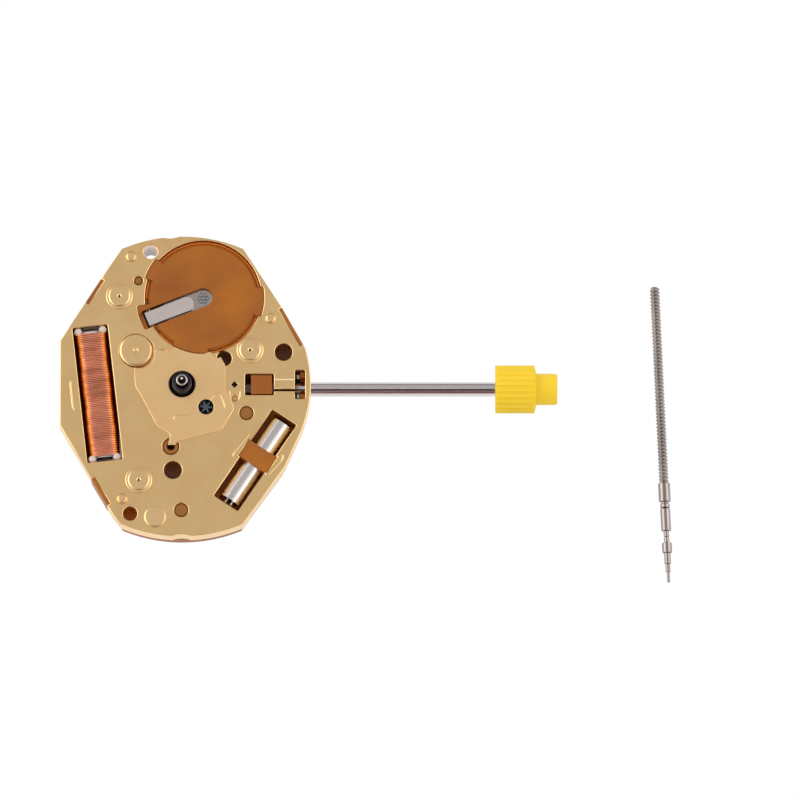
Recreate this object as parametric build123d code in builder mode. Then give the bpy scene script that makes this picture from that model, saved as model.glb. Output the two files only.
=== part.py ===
# A quartz watch movement lying on its back, dial side up, with its transport stem and a loose winding stem.
# The origin is on the hand axis in the dial seat plane.
# +X runs along the stem, +Y to twelve o'clock, +Z to the dial.
from build123d import *
from math import atan2, cos, degrees, hypot, radians, sin, sqrt
import os

os.makedirs("parts", exist_ok=True)

# Clearances, in millimetres like every size here
running = 0.03          # radial play of a pivot, wheel or stem in its bearing
seat = 0.02             # play between pieces that are pushed or screwed together
sweep_room = 0.09       # air round a wheel inside its cavity

# Layers, from the dial seat down
cover_thickness = 0.10
plate_thickness = 1.20
carrier_thickness = 1.30
carrier_inset = 0.16
board_thickness = 0.15
bridge_thickness = 0.20
clamp_thickness = 0.15
plate_top = -cover_thickness
plate_bottom = plate_top - plate_thickness
carrier_back = plate_bottom - carrier_thickness
bridge_back = carrier_back - bridge_thickness
board_back = carrier_back - board_thickness
clamp_back = bridge_back - clamp_thickness

# Outline of the main plate: round ends and right side about the hand axis, straight edges between
end_wall = 0.291         # plate outside the cell cup at twelve o'clock
bottom_radius = 9.74
stem_side_radius = 8.05
left_flat = 7.64
upper_left_corner = (-4.92, 7.06)
left_flat_top = 2.80
left_flat_bottom = -2.62
lower_left_corner = (-4.32, -8.32)
end_half_width = 3.80
upper_right_break = (6.20, 5.00)
lower_right_break = (6.44, -5.30)
stem_side_top = 2.30
stem_side_bottom = -2.95
notch_radius = 1.60
top_notch = (-0.81, 0.09)        # place along the rim and depth
bottom_notch = (0.0, 0.14)
rim_lug_depth = 0.20
rim_lug_root = 0.40
rim_lugs = (             # edge start, edge end, and the stretch of the edge that the carrier's lug fills
    (upper_left_corner, (-left_flat, left_flat_top), 0.063, 0.42),
    (upper_right_break, (7.714, stem_side_top), 0.02, 0.90),
    (lower_left_corner, (-left_flat, left_flat_bottom), 0.10, 0.40),
)

# Power cell and its cup, which opens to the back
cell_bearing = 77.0      # direction from the hand axis to the cell, in degrees
centre_gap = 2.137       # hand axis to the outside of the cup
cell_radius = 3.40
cell_height = 2.60
cell_play = 0.06
cell_step = 0.45
cell_cap_radius = 2.75
cell_edge = 0.10
cup_wall = 0.16
cup_floor = 0.30
cup_sink = 0.05
cup_bore = cell_radius + cell_play
cup_outside = cup_bore + cup_wall
cup_lid_radius = cup_outside - 0.18
cup_lid_bevel = 0.16
cell_centre = (
    (cup_outside + centre_gap) * cos(radians(cell_bearing)),
    (cup_outside + centre_gap) * sin(radians(cell_bearing)),
)
top_radius = cell_centre[1] + cup_outside + end_wall
cup_lid_top = plate_top - cup_sink
cup_lid_bottom = cup_lid_top - cup_floor
contact_sheet = 0.06
cell_top = cup_lid_bottom - contact_sheet
cell_bottom = cell_top - cell_height
lug_depth = 0.45
lobes = (                # first and last direction of each lobe of the cup floor, and its radius
    (140.0, 161.0, cup_outside + 0.22),
    (188.0, 210.0, cup_outside + 0.55),
    (238.0, 275.0, cup_outside - 0.03),
    (-19.0, 10.0, cup_outside + 0.19),
)
lobe_round = 0.18

# Negative contact strip in the slot of the cup floor
contact_width = 0.92
contact_turn = 21.6
contact_tip = cell_centre
contact_length = cup_outside + 0.10
contact_slot_play = 0.13
contact_leg = cup_outside + 0.16
contact_leg_near = contact_leg - 0.14
contact_leg_far = contact_leg + 0.10
contact_foot = contact_leg + 0.27
contact_foot_far = contact_foot + 0.05
contact_flat = cup_lid_top - 0.15
contact_bend_start = 1.05
contact_bend_end = 0.78
contact_profile = (
    (contact_width, cell_top),
    (contact_width, cell_top + contact_sheet),
    (-contact_bend_end, cell_top + contact_sheet),
    (-contact_bend_start, contact_flat),
    (-contact_leg, contact_flat),
    (-contact_leg, carrier_back + contact_sheet),
    (-contact_foot, carrier_back + contact_sheet),
    (-contact_foot, carrier_back),
    (contact_sheet - contact_leg, carrier_back),
    (contact_sheet - contact_leg, contact_flat - contact_sheet),
    (-contact_bend_start, contact_flat - contact_sheet),
    (-contact_bend_end, cell_top),
)

# Cell clamp on the back
wall_back = clamp_back
clamp_inside = cup_outside + 0.10
clamp_outside = clamp_inside + 0.63
clamp_first = 178.0
clamp_last = 313.0
clamp_lug = 0.72
clamp_bar = 1.00
finger_angles = (215.0, 275.0)
finger_tip = cell_radius - 1.00
finger_root = clamp_inside + 0.18
clamp_finger_width = 0.90

# Motion work between plate and cover
leaf_top_gap = 0.04
axial_play = 0.04
pocket_depth = 0.80
pocket_floor = plate_top - pocket_depth
hour_seat_radius = 0.60
hour_hub_radius = 0.77
hour_hub_bevel = 0.05
hour_pipe_top = 0.70
minute_seat_radius = 0.35
minute_seat_length = 0.44
cannon_radius = 0.40
cannon_top = 1.20
seconds_seat_radius = 0.10
seconds_seat_length = 0.38
seconds_radius = 0.12
seconds_top = 1.62
cover_centre_hole = 0.83
cannon_teeth = 14
minute_teeth = 28
minute_leaves = 6
hour_teeth = 36
setting_teeth = 10
minute_centre = (1.50, -1.46)
minute_distance = hypot(*minute_centre)
motion_module = 2 * minute_distance / (cannon_teeth + minute_teeth)
setting_bearing = 17.6   # direction from the minute wheel to the setting wheel, in degrees
star_turn = -7.0
star_hole = 0.48
wheel_thickness = 0.14
motion_wheel_thickness = 0.18

# Going train between plate and bridge
rotor_centre = (-2.906, 2.18)
pinion_leaves = 8
intermediate_teeth = 48
seconds_teeth = 40
third_teeth = 64
centre_teeth = 60
rotor_module = 0.070
seconds_module = 0.092
third_module = 0.060
third_bearing = 250.1    # direction from the hand axis to the third wheel, in degrees
arbor_radius = 0.10
rotor_arbor_radius = 0.08
addendum = 0.85
dedendum = 1.20
root_share = 0.29
tip_share = 0.11
magnet_radius = 0.55
stator_hole = 0.75
stator_thickness = 0.30

# Coil, its bobbin and its steel core
coil_centre = (-5.29, -0.58)
coil_turn = 6.5
coil_window_width = 2.21
window_room = 0.075
window_round = 0.10
core_width = 0.90
core_thickness = 0.30
core_tab = 0.73          # length of the core beyond each cheek
winding_length = 8.10
cheek_thickness = 0.22
bobbin_length = winding_length + 2 * cheek_thickness
core_length = bobbin_length + 2 * core_tab
coil_window = (coil_window_width, bobbin_length + 2 * window_room)
cheek_width = 2.06
wire = 0.12
drum_radius = 0.87
turns = 12
wire_sides = 4
gap_step = 15            # degrees between the points on which the winding's gap to itself is measured

# Quartz crystal in its can, and the plastic strap over it
crystal_centre = (4.578, -4.857)
crystal_turn = 56.5
can_radius = 0.75
can_length = 5.90
can_depth = 0.94         # plate face to the axis of the can
can_shift = 0.05
can_room = (0.35, 0.16)   # air round the can in its window, along and across
crystal_window = (can_length + 2 * can_room[0], 2 * (can_radius + can_room[1]))
lip_length = 0.18
lip_groove = 0.06
lip_depth = 0.05
strap_width = 1.22
strap_thickness = 0.12
strap_shift = 0.30
lead_radius = 0.08
lead_sides = 8
lead_spread = 0.40
lead_reach = 0.24        # from the can's end to where the leads turn down to the board
lead_drop = can_shift - can_length / 2 - lead_reach
lead_bend = 0.12
lead_room = 0.30
strap_root = 0.12

# Stem, keyless work and transport knob
stem_depth = 1.40        # plate face to the axis of the stem
stem_radius = 0.45
pilot_radius = 0.15
pilot_start = 2.35
pilot_bearing = 2.20
square_start = 3.30
square_side = 0.50
shoulder_start = 5.85
groove_start = 6.00
groove_width = 0.30
groove_radius = 0.25
clutch_start = 4.45
clutch_teeth_length = 0.58
clutch_groove = 0.34
clutch_flange = 0.15
clutch_radius = 0.60
clutch_groove_radius = 0.38
clutch_leaves = 12
knob_start = 19.59
knob_length = 2.57
knob_radius = 1.50
knob_ribs = 24
rib_depth = 0.06
hub_length = 1.31
hub_radius = 0.985
knob_grip = 2.0
knob_dish = 0.12
knob_rim = 0.12
knob_cone = 0.12
hub_edge = 0.10
yoke_pivot = (5.20, 2.72)
yoke_thickness = 0.24
yoke_width = 0.50
finger_width = 0.18
lever_thickness = 0.20
prong_thickness = 0.14
stem_window = (3.94, 5.74, 0.67)
stem_block = (4.31, 5.62, 0.60)
slot_window = (7.06, 7.69, 0.92)
clip_start = 7.18
clip_thickness = 0.15
stem_z = plate_top - stem_depth
slit_y = -0.36
slit_width = 0.12
block_room = 0.92
block_wall = 0.70
block_flange = 0.14
block_flange_top = plate_top - 0.62
clutch_bed = (3.90, 5.70, 0.68)
lever_half = 0.62
lever_play = 0.04
lever_bottom = stem_z - 0.80
lever_span = (5.60, 6.30)
lever_bed = (5.55, 7.15)
prong_start = 6.08
prong_inner = 0.28
prong_outer = 0.60
prong_top = plate_bottom - 0.06
clip_half = 0.75
clip_inner = 0.50
clip_bottom = stem_z - 0.75
clip_top = stem_z + 0.75
clip_base = 0.20
slot_post = (7.52, 0.70, 0.28, 0.34)
slot_post_height = 0.80
yoke_bottom = stem_z - yoke_thickness / 2
yoke_play = 0.04
yoke_bed = (
    (4.80, 3.25), (4.80, 2.35), (4.40, 1.60), (4.32, 0.60), (5.72, 0.60), (5.78, 1.60), (6.34, 3.05),
    (6.34, 3.68), (5.60, 3.68), (5.35, 3.25),
)
yoke_post = 0.20
yoke_eye = 0.42
yoke_arm_end = 0.75
finger_reach = 0.42
spring_post = (5.95, 3.30)
spring_post_radius = 0.15
spring_eye = 0.28
spring_sheet = 0.10
spring_end = (5.62, 1.15)
setting_post = 0.15
setting_view = 0.20      # opening over the setting wheel's post
diamond = (3.28, 0.0, 0.30, 0.40)    # centre x and y, side and depth of the square recess

# Holes, pillars, pins and pegs: place and radius
dial_foot_holes = ((-2.00, top_radius - 1.02), (-3.22, 1.47 - bottom_radius))
dial_foot_radius = 0.44
pillar_places = ((-3.94, 5.67), (4.25, 2.21), (-2.69, -6.12))
pillar_head_radius = 0.84
pillar_radius = 0.50
pin_places = ((-3.22, top_radius - 1.32), (5.53, 4.23), (-3.72, 2.40 - bottom_radius))
pin_radius = 0.31
stud_place = (-1.66, 1.25 - bottom_radius)
stud_radius = 0.69
stud_shank = 0.40
cap_radius = 1.03
cap_depth = 0.50
cap_bearing = 0.25
cap_crescent = 0.13      # width of the gap at the cap's lower right
crescent_bearing = 325.0
pin_length = 2.00
pillar_feet = (bridge_back, bridge_back, carrier_back)
peg_places = ((4.03, -1.83), (-0.03, 1.70 - bottom_radius))
peg_radius = 0.44
ring_peg = (-0.69, -3.97, 0.53, 0.25)
small_peg = (-2.75, 6.67, 0.28)
open_holes = ((6.34, 2.08, 0.55), (-0.56, -5.48, 0.56), (2.63, 1.67, 0.47))
screw_head_radius = 0.48
screw_head_height = 0.20
screw_radius = 0.24
hidden_sides = 8         # corners of a shank or hole that stays out of sight
screw_length = 0.70
screw_slot = 0.10
bridge_screws = ((-3.45, -3.00), (2.75, -1.50))
bridge_pad = 0.62
bridge_bearing_pad = 0.82
foot_places = ((6.35, -4.15), (-2.05, 1.19 - bottom_radius), (-6.85, 1.60))
foot_radius = 0.36

# Cover plate of the motion work: its outline from the rotor cap round to the cell cup
cover_gap = 0.07
cover_cup_radius = cup_outside + 0.04
cover_shoulder = (-0.90, 2.13)
cover_left = ((-2.94, -0.13), (-2.72, -0.45), (-1.75, -2.31), (-1.56, -2.69), (-1.00, -3.01), (-0.72, -3.27))
cover_tongue = ((-0.875, -3.90), (-0.44, -3.90), (-0.19, -3.62))
cover_right = ((2.41, -2.95), (2.56, -2.82), (3.25, -1.60), (2.98, -0.70), (2.72, -0.42), (2.69, 1.22))
cover_finger = ((2.44, 1.73), (2.125, 1.67), (1.75, 2.10))

# Circuit board and its chip
board_inset = 0.45
board_room = 0.10
block_place = (0.60, 3.14 - bottom_radius)
block_size = (1.80, 1.50)
block_height = 0.30

# Stator plate: ring round the rotor and two arms to the ends of the coil core
stator_ring = 1.25
stator_arm = 0.60
stator_pad = 0.74
pad_reach = core_length / 2 - 0.32
pad_inner = -0.45
pad_outer = 1.50
stator_route = ((-3.65, -2.50), (-3.75, 0.30))

# The back of the movement, where the cell's clamp fingers and the carrier's feet end
finger_thickness = 0.10
movement_back = cell_bottom - finger_thickness

# Loose winding stem beside the movement: start and end on the table, then length and radius of each step
loose_start = (29.61, 6.87)
loose_end = (30.42, -12.04)
loose_steps = (
    (12.62, 0.312), (1.18, 0.375), (0.13, 0.22), (0.26, 0.300), (0.06, 0.25), (1.42, 0.312),
    (0.38, 0.17), (0.39, 0.170), (0.64, 0.310), (0.70, 0.205), (0.52, 0.156), (0.64, 0.100),
)


def polar(radius, angle, centre=(0.0, 0.0)):
    """The point at a radius and an angle in degrees about a centre."""
    return (centre[0] + radius * cos(radians(angle)), centre[1] + radius * sin(radians(angle)))


def bearing(start, end):
    """The direction from one point to another, in degrees."""
    return degrees(atan2(end[1] - start[1], end[0] - start[0]))


def level(height, place=(0.0, 0.0), turn=0.0):
    """A level drawing plane at a height and place, turned about Z."""
    return Plane(
        origin=(place[0], place[1], height),
        x_dir=(cos(radians(turn)), sin(radians(turn)), 0),
        z_dir=(0, 0, 1),
    )


def across(x):
    """A drawing plane square to the stem, centred on the stem's axis, its first direction along +Y."""
    return Plane(origin=(x, 0, stem_z), x_dir=(0, 1, 0), z_dir=(1, 0, 0))


def pitch_radius(teeth, module):
    return teeth * module / 2


def tip_radius(teeth, module):
    return module * (teeth / 2 + addendum)


def turned(centre, turn, along, side):
    """A point given along and beside a turned axis through a centre."""
    return polar(side, turn + 90, polar(along, turn, centre))


def bar(start, end, width):
    """Draw a straight bar with square ends in the open sketch."""
    heading = bearing(start, end)
    length = hypot(end[0] - start[0], end[1] - start[1])
    corners = ((0, -width / 2), (length, -width / 2), (length, width / 2), (0, width / 2))
    Polygon(*[turned(start, heading, along, side) for along, side in corners], align=None)


def edge_strip(start, end, first, last, inward, outward):
    """Draw a strip along a straight edge of the plate, from a first to a last share of the edge."""
    length = hypot(end[0] - start[0], end[1] - start[1])
    heading = bearing(start, end)
    side = 1 if hypot(*turned(start, heading, 0, 1)) < hypot(*start) else -1
    corners = ((first, -outward), (last, -outward), (last, inward), (first, inward))
    Polygon(*[turned(start, heading, share * length, side * reach) for share, reach in corners], align=None)


def coil_point(beside, along):
    """The place of a point beside and along the coil's axis."""
    return turned(coil_centre, coil_turn, beside, along)


def coil_across(along):
    """A drawing plane square to the coil's axis."""
    place = coil_point(0, along)
    return Plane(
        origin=(place[0], place[1], coil_z),
        x_dir=(cos(radians(coil_turn)), sin(radians(coil_turn)), 0),
        z_dir=(-sin(radians(coil_turn)), cos(radians(coil_turn)), 0),
    )


def crystal_point(along, beside, height):
    """The place of a point along and beside the can's axis, at a height."""
    return (*turned(crystal_centre, crystal_turn, along, beside), height)


def crystal_across(along):
    """A drawing plane square to the can's axis."""
    return Plane(
        origin=crystal_point(along, 0, crystal_z),
        x_dir=(-sin(radians(crystal_turn)), cos(radians(crystal_turn)), 0),
        z_dir=(cos(radians(crystal_turn)), sin(radians(crystal_turn)), 0),
    )


def stator_face(grow=0.0):
    """Draw the stator plate without its rotor hole in the open sketch, grown by a clearance."""
    discs([rotor_centre], stator_ring + grow)
    for end in (pad_reach, -pad_reach):
        bar(coil_point(pad_inner - grow, end), coil_point(pad_outer + grow, end), stator_pad + 2 * grow)
    route = (coil_point(pad_outer - stator_arm / 2, -pad_reach), *stator_route, rotor_centre)
    for start, end in zip(route, route[1:]):
        bar(start, end, stator_arm + 2 * grow)
    for joint in stator_route:
        discs([joint], stator_arm / 2 + grow)
    bar(coil_point(pad_outer - stator_arm / 2, pad_reach), rotor_centre, stator_arm + 2 * grow)


def bridge_face(grow=0.0):
    """Draw the train bridge in the open sketch: a hull round its screws and outer bearings."""
    discs(bridge_screws, bridge_pad + grow)
    discs([rotor_centre, third_centre], bridge_bearing_pad + grow)
    make_hull()


def tooth_points(teeth, module, turn):
    """Corners of a wheel with straight-sided teeth, the first tooth centred at turn degrees."""
    pitch = 360 / teeth
    tip = tip_radius(teeth, module)
    root = module * (teeth / 2 - dedendum)
    corners = ((root, -root_share), (tip, -tip_share), (tip, tip_share), (root, root_share))
    return [
        polar(radius, turn + (tooth + share) * pitch)
        for tooth in range(teeth)
        for radius, share in corners
    ]


def meshed_turn(direction, driver_teeth, driver_turn, teeth):
    """The turn that puts a gap of a wheel on the driver's tooth, where the wheel lies in that direction."""
    return direction + 180 + 180 / teeth - driver_teeth / teeth * (driver_turn - direction)


def toothed(teeth, module, turn, place=(0.0, 0.0)):
    """Draw a toothed wheel in the open sketch."""
    with Locations(place):
        Polygon(*tooth_points(teeth, module, turn), align=None)


def plate_face():
    """Draw the outline of the main plate in the open sketch."""
    top_y = sqrt(top_radius**2 - end_half_width**2)
    bottom_y = -sqrt(bottom_radius**2 - end_half_width**2)
    upper = (sqrt(stem_side_radius**2 - stem_side_top**2), stem_side_top)
    lower = (sqrt(stem_side_radius**2 - stem_side_bottom**2), stem_side_bottom)
    with BuildLine() as outline:
        ThreePointArc((end_half_width, top_y), (0, top_radius), (-end_half_width, top_y))
        Polyline(
            (-end_half_width, top_y),
            upper_left_corner,
            (-left_flat, left_flat_top),
            (-left_flat, left_flat_bottom),
            lower_left_corner,
            (-end_half_width, bottom_y),
        )
        ThreePointArc((-end_half_width, bottom_y), (0, -bottom_radius), (end_half_width, bottom_y))
        Polyline((end_half_width, bottom_y), lower_right_break, lower)
        ThreePointArc(lower, (stem_side_radius, 0), upper)
        Polyline(upper, upper_right_break, (end_half_width, top_y))
    make_face(outline.line.edges())


def sector(radius, first, last, centre):
    """Draw a pie slice in the open sketch."""
    with BuildLine() as outline:
        Line(centre, polar(radius, first, centre))
        ThreePointArc(
            polar(radius, first, centre),
            polar(radius, (first + last) / 2, centre),
            polar(radius, last, centre),
        )
        Line(polar(radius, last, centre), centre)
    return make_face(outline.line.edges())


def lobe_face(chosen=lobes, grow=0.0):
    """Draw lobes of the cup floor with rounded corners in the open sketch, grown by a clearance."""
    for first, last, reach in chosen:
        trim = degrees((lobe_round - grow) / reach)
        core = sector(reach + grow - lobe_round, first + trim, last - trim, cell_centre)
        offset(core, amount=lobe_round, mode=Mode.ADD)


def discs(places, radius):
    """Draw equal discs in the open sketch."""
    with Locations(*places):
        Circle(radius)


def plugs(places, radius):
    """Draw equal octagons, for hidden shanks and their holes, in the open sketch."""
    with Locations(*places):
        RegularPolygon(radius, hidden_sides, major_radius=False)


def seat_profile(radius, bottom, shoulder, seat_radius, seat_bottom, top):
    """Corners of half a pin: its body, a cone and the slimmer seat of a hand."""
    return (
        (0, bottom), (radius, bottom), (radius, shoulder),
        (seat_radius, seat_bottom), (seat_radius, top), (0, top),
    )


def motion_pocket_face():
    """Draw the pocket of the motion work in the open sketch."""
    Circle(tip_radius(hour_teeth, motion_module) + sweep_room)
    discs([minute_centre], tip_radius(minute_teeth, motion_module) + sweep_room)


def triangle_point(first, second, first_reach, second_reach, side):
    """The point at given distances from two centres, on the left (side 1) or right (side -1) of their line."""
    span = hypot(second[0] - first[0], second[1] - first[1])
    along = (first_reach**2 - second_reach**2 + span**2) / (2 * span)
    off = side * sqrt(first_reach**2 - along**2)
    heading = bearing(first, second)
    return polar(off, heading + 90, polar(along, heading, first))


# Wheel centres, from the tooth counts
seconds_reach = pitch_radius(pinion_leaves + seconds_teeth, seconds_module)
rotor_reach = pitch_radius(pinion_leaves + intermediate_teeth, rotor_module)
intermediate_centre = triangle_point((0.0, 0.0), rotor_centre, seconds_reach, rotor_reach, 1)
third_reach = pitch_radius(pinion_leaves + third_teeth, third_module)
third_centre = polar(third_reach, third_bearing)
centre_module = 2 * third_reach / (pinion_leaves + centre_teeth)
setting_reach = pitch_radius(minute_teeth + setting_teeth, motion_module)
setting_centre = polar(setting_reach, setting_bearing, minute_centre)

# Heights of the wheels
cannon_pinion_bottom = pocket_floor + 0.08
cannon_pinion_top = cannon_pinion_bottom + 0.24
minute_wheel_bottom = pocket_floor + 0.10
minute_wheel_top = minute_wheel_bottom + motion_wheel_thickness
hour_hub_bottom = cannon_pinion_top + 0.02
hour_wheel_bottom = hour_hub_bottom + 0.14
setting_wheel_bottom = minute_wheel_bottom - 0.25
centre_wheel_top = plate_bottom - 0.12
centre_wheel_bottom = centre_wheel_top - wheel_thickness
cannon_bottom = centre_wheel_bottom - 0.02
third_wheel_top = centre_wheel_bottom - 0.10
third_wheel_bottom = third_wheel_top - wheel_thickness
intermediate_wheel_top = third_wheel_bottom - 0.08
intermediate_wheel_bottom = intermediate_wheel_top - wheel_thickness
seconds_wheel_top = intermediate_wheel_bottom - 0.26
seconds_wheel_bottom = seconds_wheel_top - wheel_thickness
stator_bottom = plate_bottom - stator_thickness
magnet_top = plate_bottom - axial_play
magnet_bottom = stator_bottom - 0.08
pivot_end = bridge_back + 0.03
upper_pivot = plate_bottom + 0.20
core_bottom = plate_bottom
core_top = core_bottom + core_thickness
coil_z = (core_bottom + core_top) / 2
crystal_z = plate_top - can_depth
strap_top = crystal_z + can_radius + seat + strap_thickness
trough_floor = coil_z - drum_radius - wire - 0.06

# Main plate
with BuildPart() as main_plate:
    with BuildSketch(Plane.XY.offset(plate_bottom)):
        plate_face()
    extrude(amount=plate_thickness)
    with BuildSketch(Plane.XY.offset(plate_top)):
        discs([cell_centre], cup_lid_radius + seat)
        lobe_face(grow=seat)
    extrude(amount=-lug_depth, mode=Mode.SUBTRACT)
    with BuildSketch(Plane.XY.offset(plate_top)):
        discs([cell_centre], cup_outside + seat)
        lobe_face(lobes[1:2], seat)
        discs(dial_foot_holes, dial_foot_radius)
        plugs(pillar_places, pillar_radius + seat)
        discs(pin_places, pin_radius)
        discs(peg_places, peg_radius)
        discs([ring_peg[:2]], ring_peg[2])
        discs([small_peg[:2]], small_peg[2])
        discs([stud_place], stud_shank)
    extrude(amount=-plate_thickness, mode=Mode.SUBTRACT)
    for x, y, radius in open_holes:
        with BuildSketch(level(plate_top, (x, y))):
            Circle(radius)
        extrude(amount=-plate_thickness, mode=Mode.SUBTRACT)
    with BuildSketch(level(plate_top, coil_centre, coil_turn)):
        RectangleRounded(*coil_window, window_round)
    extrude(amount=-plate_thickness, mode=Mode.SUBTRACT)
    with BuildSketch(level(plate_top, crystal_centre, crystal_turn)):
        RectangleRounded(*crystal_window, window_round)
    extrude(amount=-plate_thickness, mode=Mode.SUBTRACT)
    with BuildSketch(level(core_bottom, coil_centre, coil_turn)):
        Rectangle(core_width + 2 * seat, core_length + 2 * seat)
    extrude(amount=core_thickness + seat, mode=Mode.SUBTRACT)
    with BuildSketch(Plane.XY.offset(plate_top)):
        motion_pocket_face()
    extrude(amount=-pocket_depth, mode=Mode.SUBTRACT)
    with BuildSketch(Plane.XY.offset(plate_bottom)):
        discs([setting_centre], tip_radius(setting_teeth, motion_module) + sweep_room)
    extrude(amount=minute_wheel_top - plate_bottom + axial_play, mode=Mode.SUBTRACT)
    with BuildSketch(Plane.XY.offset(plate_bottom)):
        Circle(cannon_radius + running)
        discs([minute_centre], arbor_radius + running)
        discs([rotor_centre], arbor_radius + 2 * running)
    extrude(amount=plate_thickness, mode=Mode.SUBTRACT)
    with BuildSketch(Plane.XY.offset(plate_bottom)):
        discs([intermediate_centre, third_centre], arbor_radius + running)
    extrude(amount=upper_pivot - plate_bottom + 0.03, mode=Mode.SUBTRACT)
    with BuildSketch(Plane.XY.offset(plate_top)):
        discs([rotor_centre, polar(cap_crescent, crescent_bearing, rotor_centre)], cap_radius + seat)
    extrude(amount=-cap_depth, mode=Mode.SUBTRACT)
    with BuildSketch(across(stem_window[1])):
        Circle(stem_radius + running)
    extrude(amount=stem_side_radius, mode=Mode.SUBTRACT)
    with BuildSketch(across(square_start)):
        Circle(square_side / sqrt(2) + 2 * running)
    extrude(amount=stem_window[0] - square_start + 0.01, mode=Mode.SUBTRACT)
    with BuildSketch(Plane.XY.offset(plate_top)):
        discs([setting_centre], setting_view)
    extrude(amount=minute_wheel_top - plate_top, mode=Mode.SUBTRACT)
    with BuildSketch(level(plate_top, diamond[:2], 45)):
        Rectangle(diamond[2], diamond[2])
    extrude(amount=-diamond[3], mode=Mode.SUBTRACT)
    with BuildSketch(Plane.XY.offset(plate_top)):
        for first, last, half in (stem_window, slot_window):
            with Locations(((first + last) / 2, 0)):
                RectangleRounded(last - first, 2 * half, window_round)
        with Locations(((stem_window[1] + slot_window[0]) / 2, slit_y)):
            Rectangle(slot_window[0] - stem_window[1] + window_round, slit_width)
    extrude(amount=-plate_thickness, mode=Mode.SUBTRACT)
    with BuildSketch(Plane.XY.offset(plate_bottom)):
        with Locations(((stem_window[0] + stem_window[1]) / 2, 0)):
            Rectangle(stem_window[1] - stem_window[0], 2 * block_room)
    extrude(amount=block_flange_top + seat - plate_bottom, mode=Mode.SUBTRACT)
    with BuildSketch(level(plate_top, crystal_centre, crystal_turn)):
        with Locations((strap_shift, 0)):
            Rectangle(strap_width + 2 * seat, crystal_window[1] + 2 * strap_root + 2 * seat)
    extrude(amount=-plate_thickness, mode=Mode.SUBTRACT)
    with BuildSketch(Plane.XY.offset(plate_top)):
        for start, end, first, last in rim_lugs:
            edge_strip(start, end, first, last, rim_lug_depth + seat, rim_lug_depth)
        top_edge = sqrt(top_radius**2 - top_notch[0] ** 2)
        bottom_edge = sqrt(bottom_radius**2 - bottom_notch[0] ** 2)
        discs([(top_notch[0], top_edge - top_notch[1] + notch_radius)], notch_radius)
        discs([(bottom_notch[0], bottom_notch[1] - notch_radius - bottom_edge)], notch_radius)
    extrude(amount=-plate_thickness, mode=Mode.SUBTRACT)
main_plate.part.label = "main_plate"
export_step(main_plate.part, "parts/main_plate.step")

# Cover plate of the motion work, a thin sheet on the main plate, with two spring tongues
with BuildPart() as cover_plate:
    with BuildSketch(Plane.XY.offset(plate_top)):
        with BuildLine():
            near_cap = polar(cap_radius + cover_gap, 3, rotor_centre)
            below_cap = polar(cap_radius + cover_gap, 265, rotor_centre)
            cup_left = polar(cover_cup_radius, 241.5, cell_centre)
            cup_right = polar(cover_cup_radius, 270.8, cell_centre)
            Polyline(below_cap, *cover_left, *cover_tongue, *cover_right, *cover_finger, cup_right)
            ThreePointArc(cup_right, polar(cover_cup_radius, 256, cell_centre), cup_left)
            Polyline(cup_left, cover_shoulder, near_cap)
            beside_cap = polar(cap_radius + cover_gap + cap_crescent, crescent_bearing, rotor_centre)
            ThreePointArc(near_cap, beside_cap, below_cap)
        make_face()
        Circle(cover_centre_hole, mode=Mode.SUBTRACT)
        with Locations(minute_centre):
            Circle(star_hole, mode=Mode.SUBTRACT)
    extrude(amount=cover_thickness)
cover_plate.part.label = "cover_plate"
export_step(cover_plate.part, "parts/cover_plate.step")

# Pillars riveted to the main plate; screws enter them from the back
with BuildPart() as pillars:
    with BuildSketch(Plane.XY.offset(plate_top)):
        discs(pillar_places, pillar_head_radius)
    extrude(amount=cover_thickness)
    for place, foot in zip(pillar_places, pillar_feet):
        with BuildSketch(Plane.XY.offset(plate_top)):
            plugs([place], pillar_radius)
        extrude(amount=foot - plate_top)
        with BuildSketch(Plane.XY.offset(foot)):
            plugs([place], screw_radius + seat)
        extrude(amount=screw_length + 0.1, mode=Mode.SUBTRACT)
pillars.part.label = "pillars"
export_step(pillars.part, "parts/pillars.step")

# Locating pins that join plate and carrier, and the plain stud
with BuildPart() as locating_pins:
    with BuildSketch(Plane.XY):
        discs(pin_places, pin_radius)
    extrude(amount=-pin_length)
    with BuildSketch(level(plate_top, stud_place)):
        Circle(stud_radius)
    extrude(amount=cover_thickness)
    with BuildSketch(level(plate_top, stud_place)):
        Circle(stud_shank)
    extrude(amount=-plate_thickness)
locating_pins.part.label = "locating_pins"
export_step(locating_pins.part, "parts/locating_pins.step")

# Rotor bearing cap, pressed in its recess, with the oil sink on top and the pivot hole below
with BuildPart() as rotor_bearing_cap:
    with BuildSketch(level(0, rotor_centre)):
        Circle(cap_radius)
    extrude(amount=plate_top - cap_depth)
    with BuildSketch(level(plate_top - cap_depth, rotor_centre)):
        Circle(rotor_arbor_radius + running)
    extrude(amount=cap_bearing, mode=Mode.SUBTRACT)
rotor_bearing_cap.part.label = "rotor_bearing_cap"
export_step(rotor_bearing_cap.part, "parts/rotor_bearing_cap.step")

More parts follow.
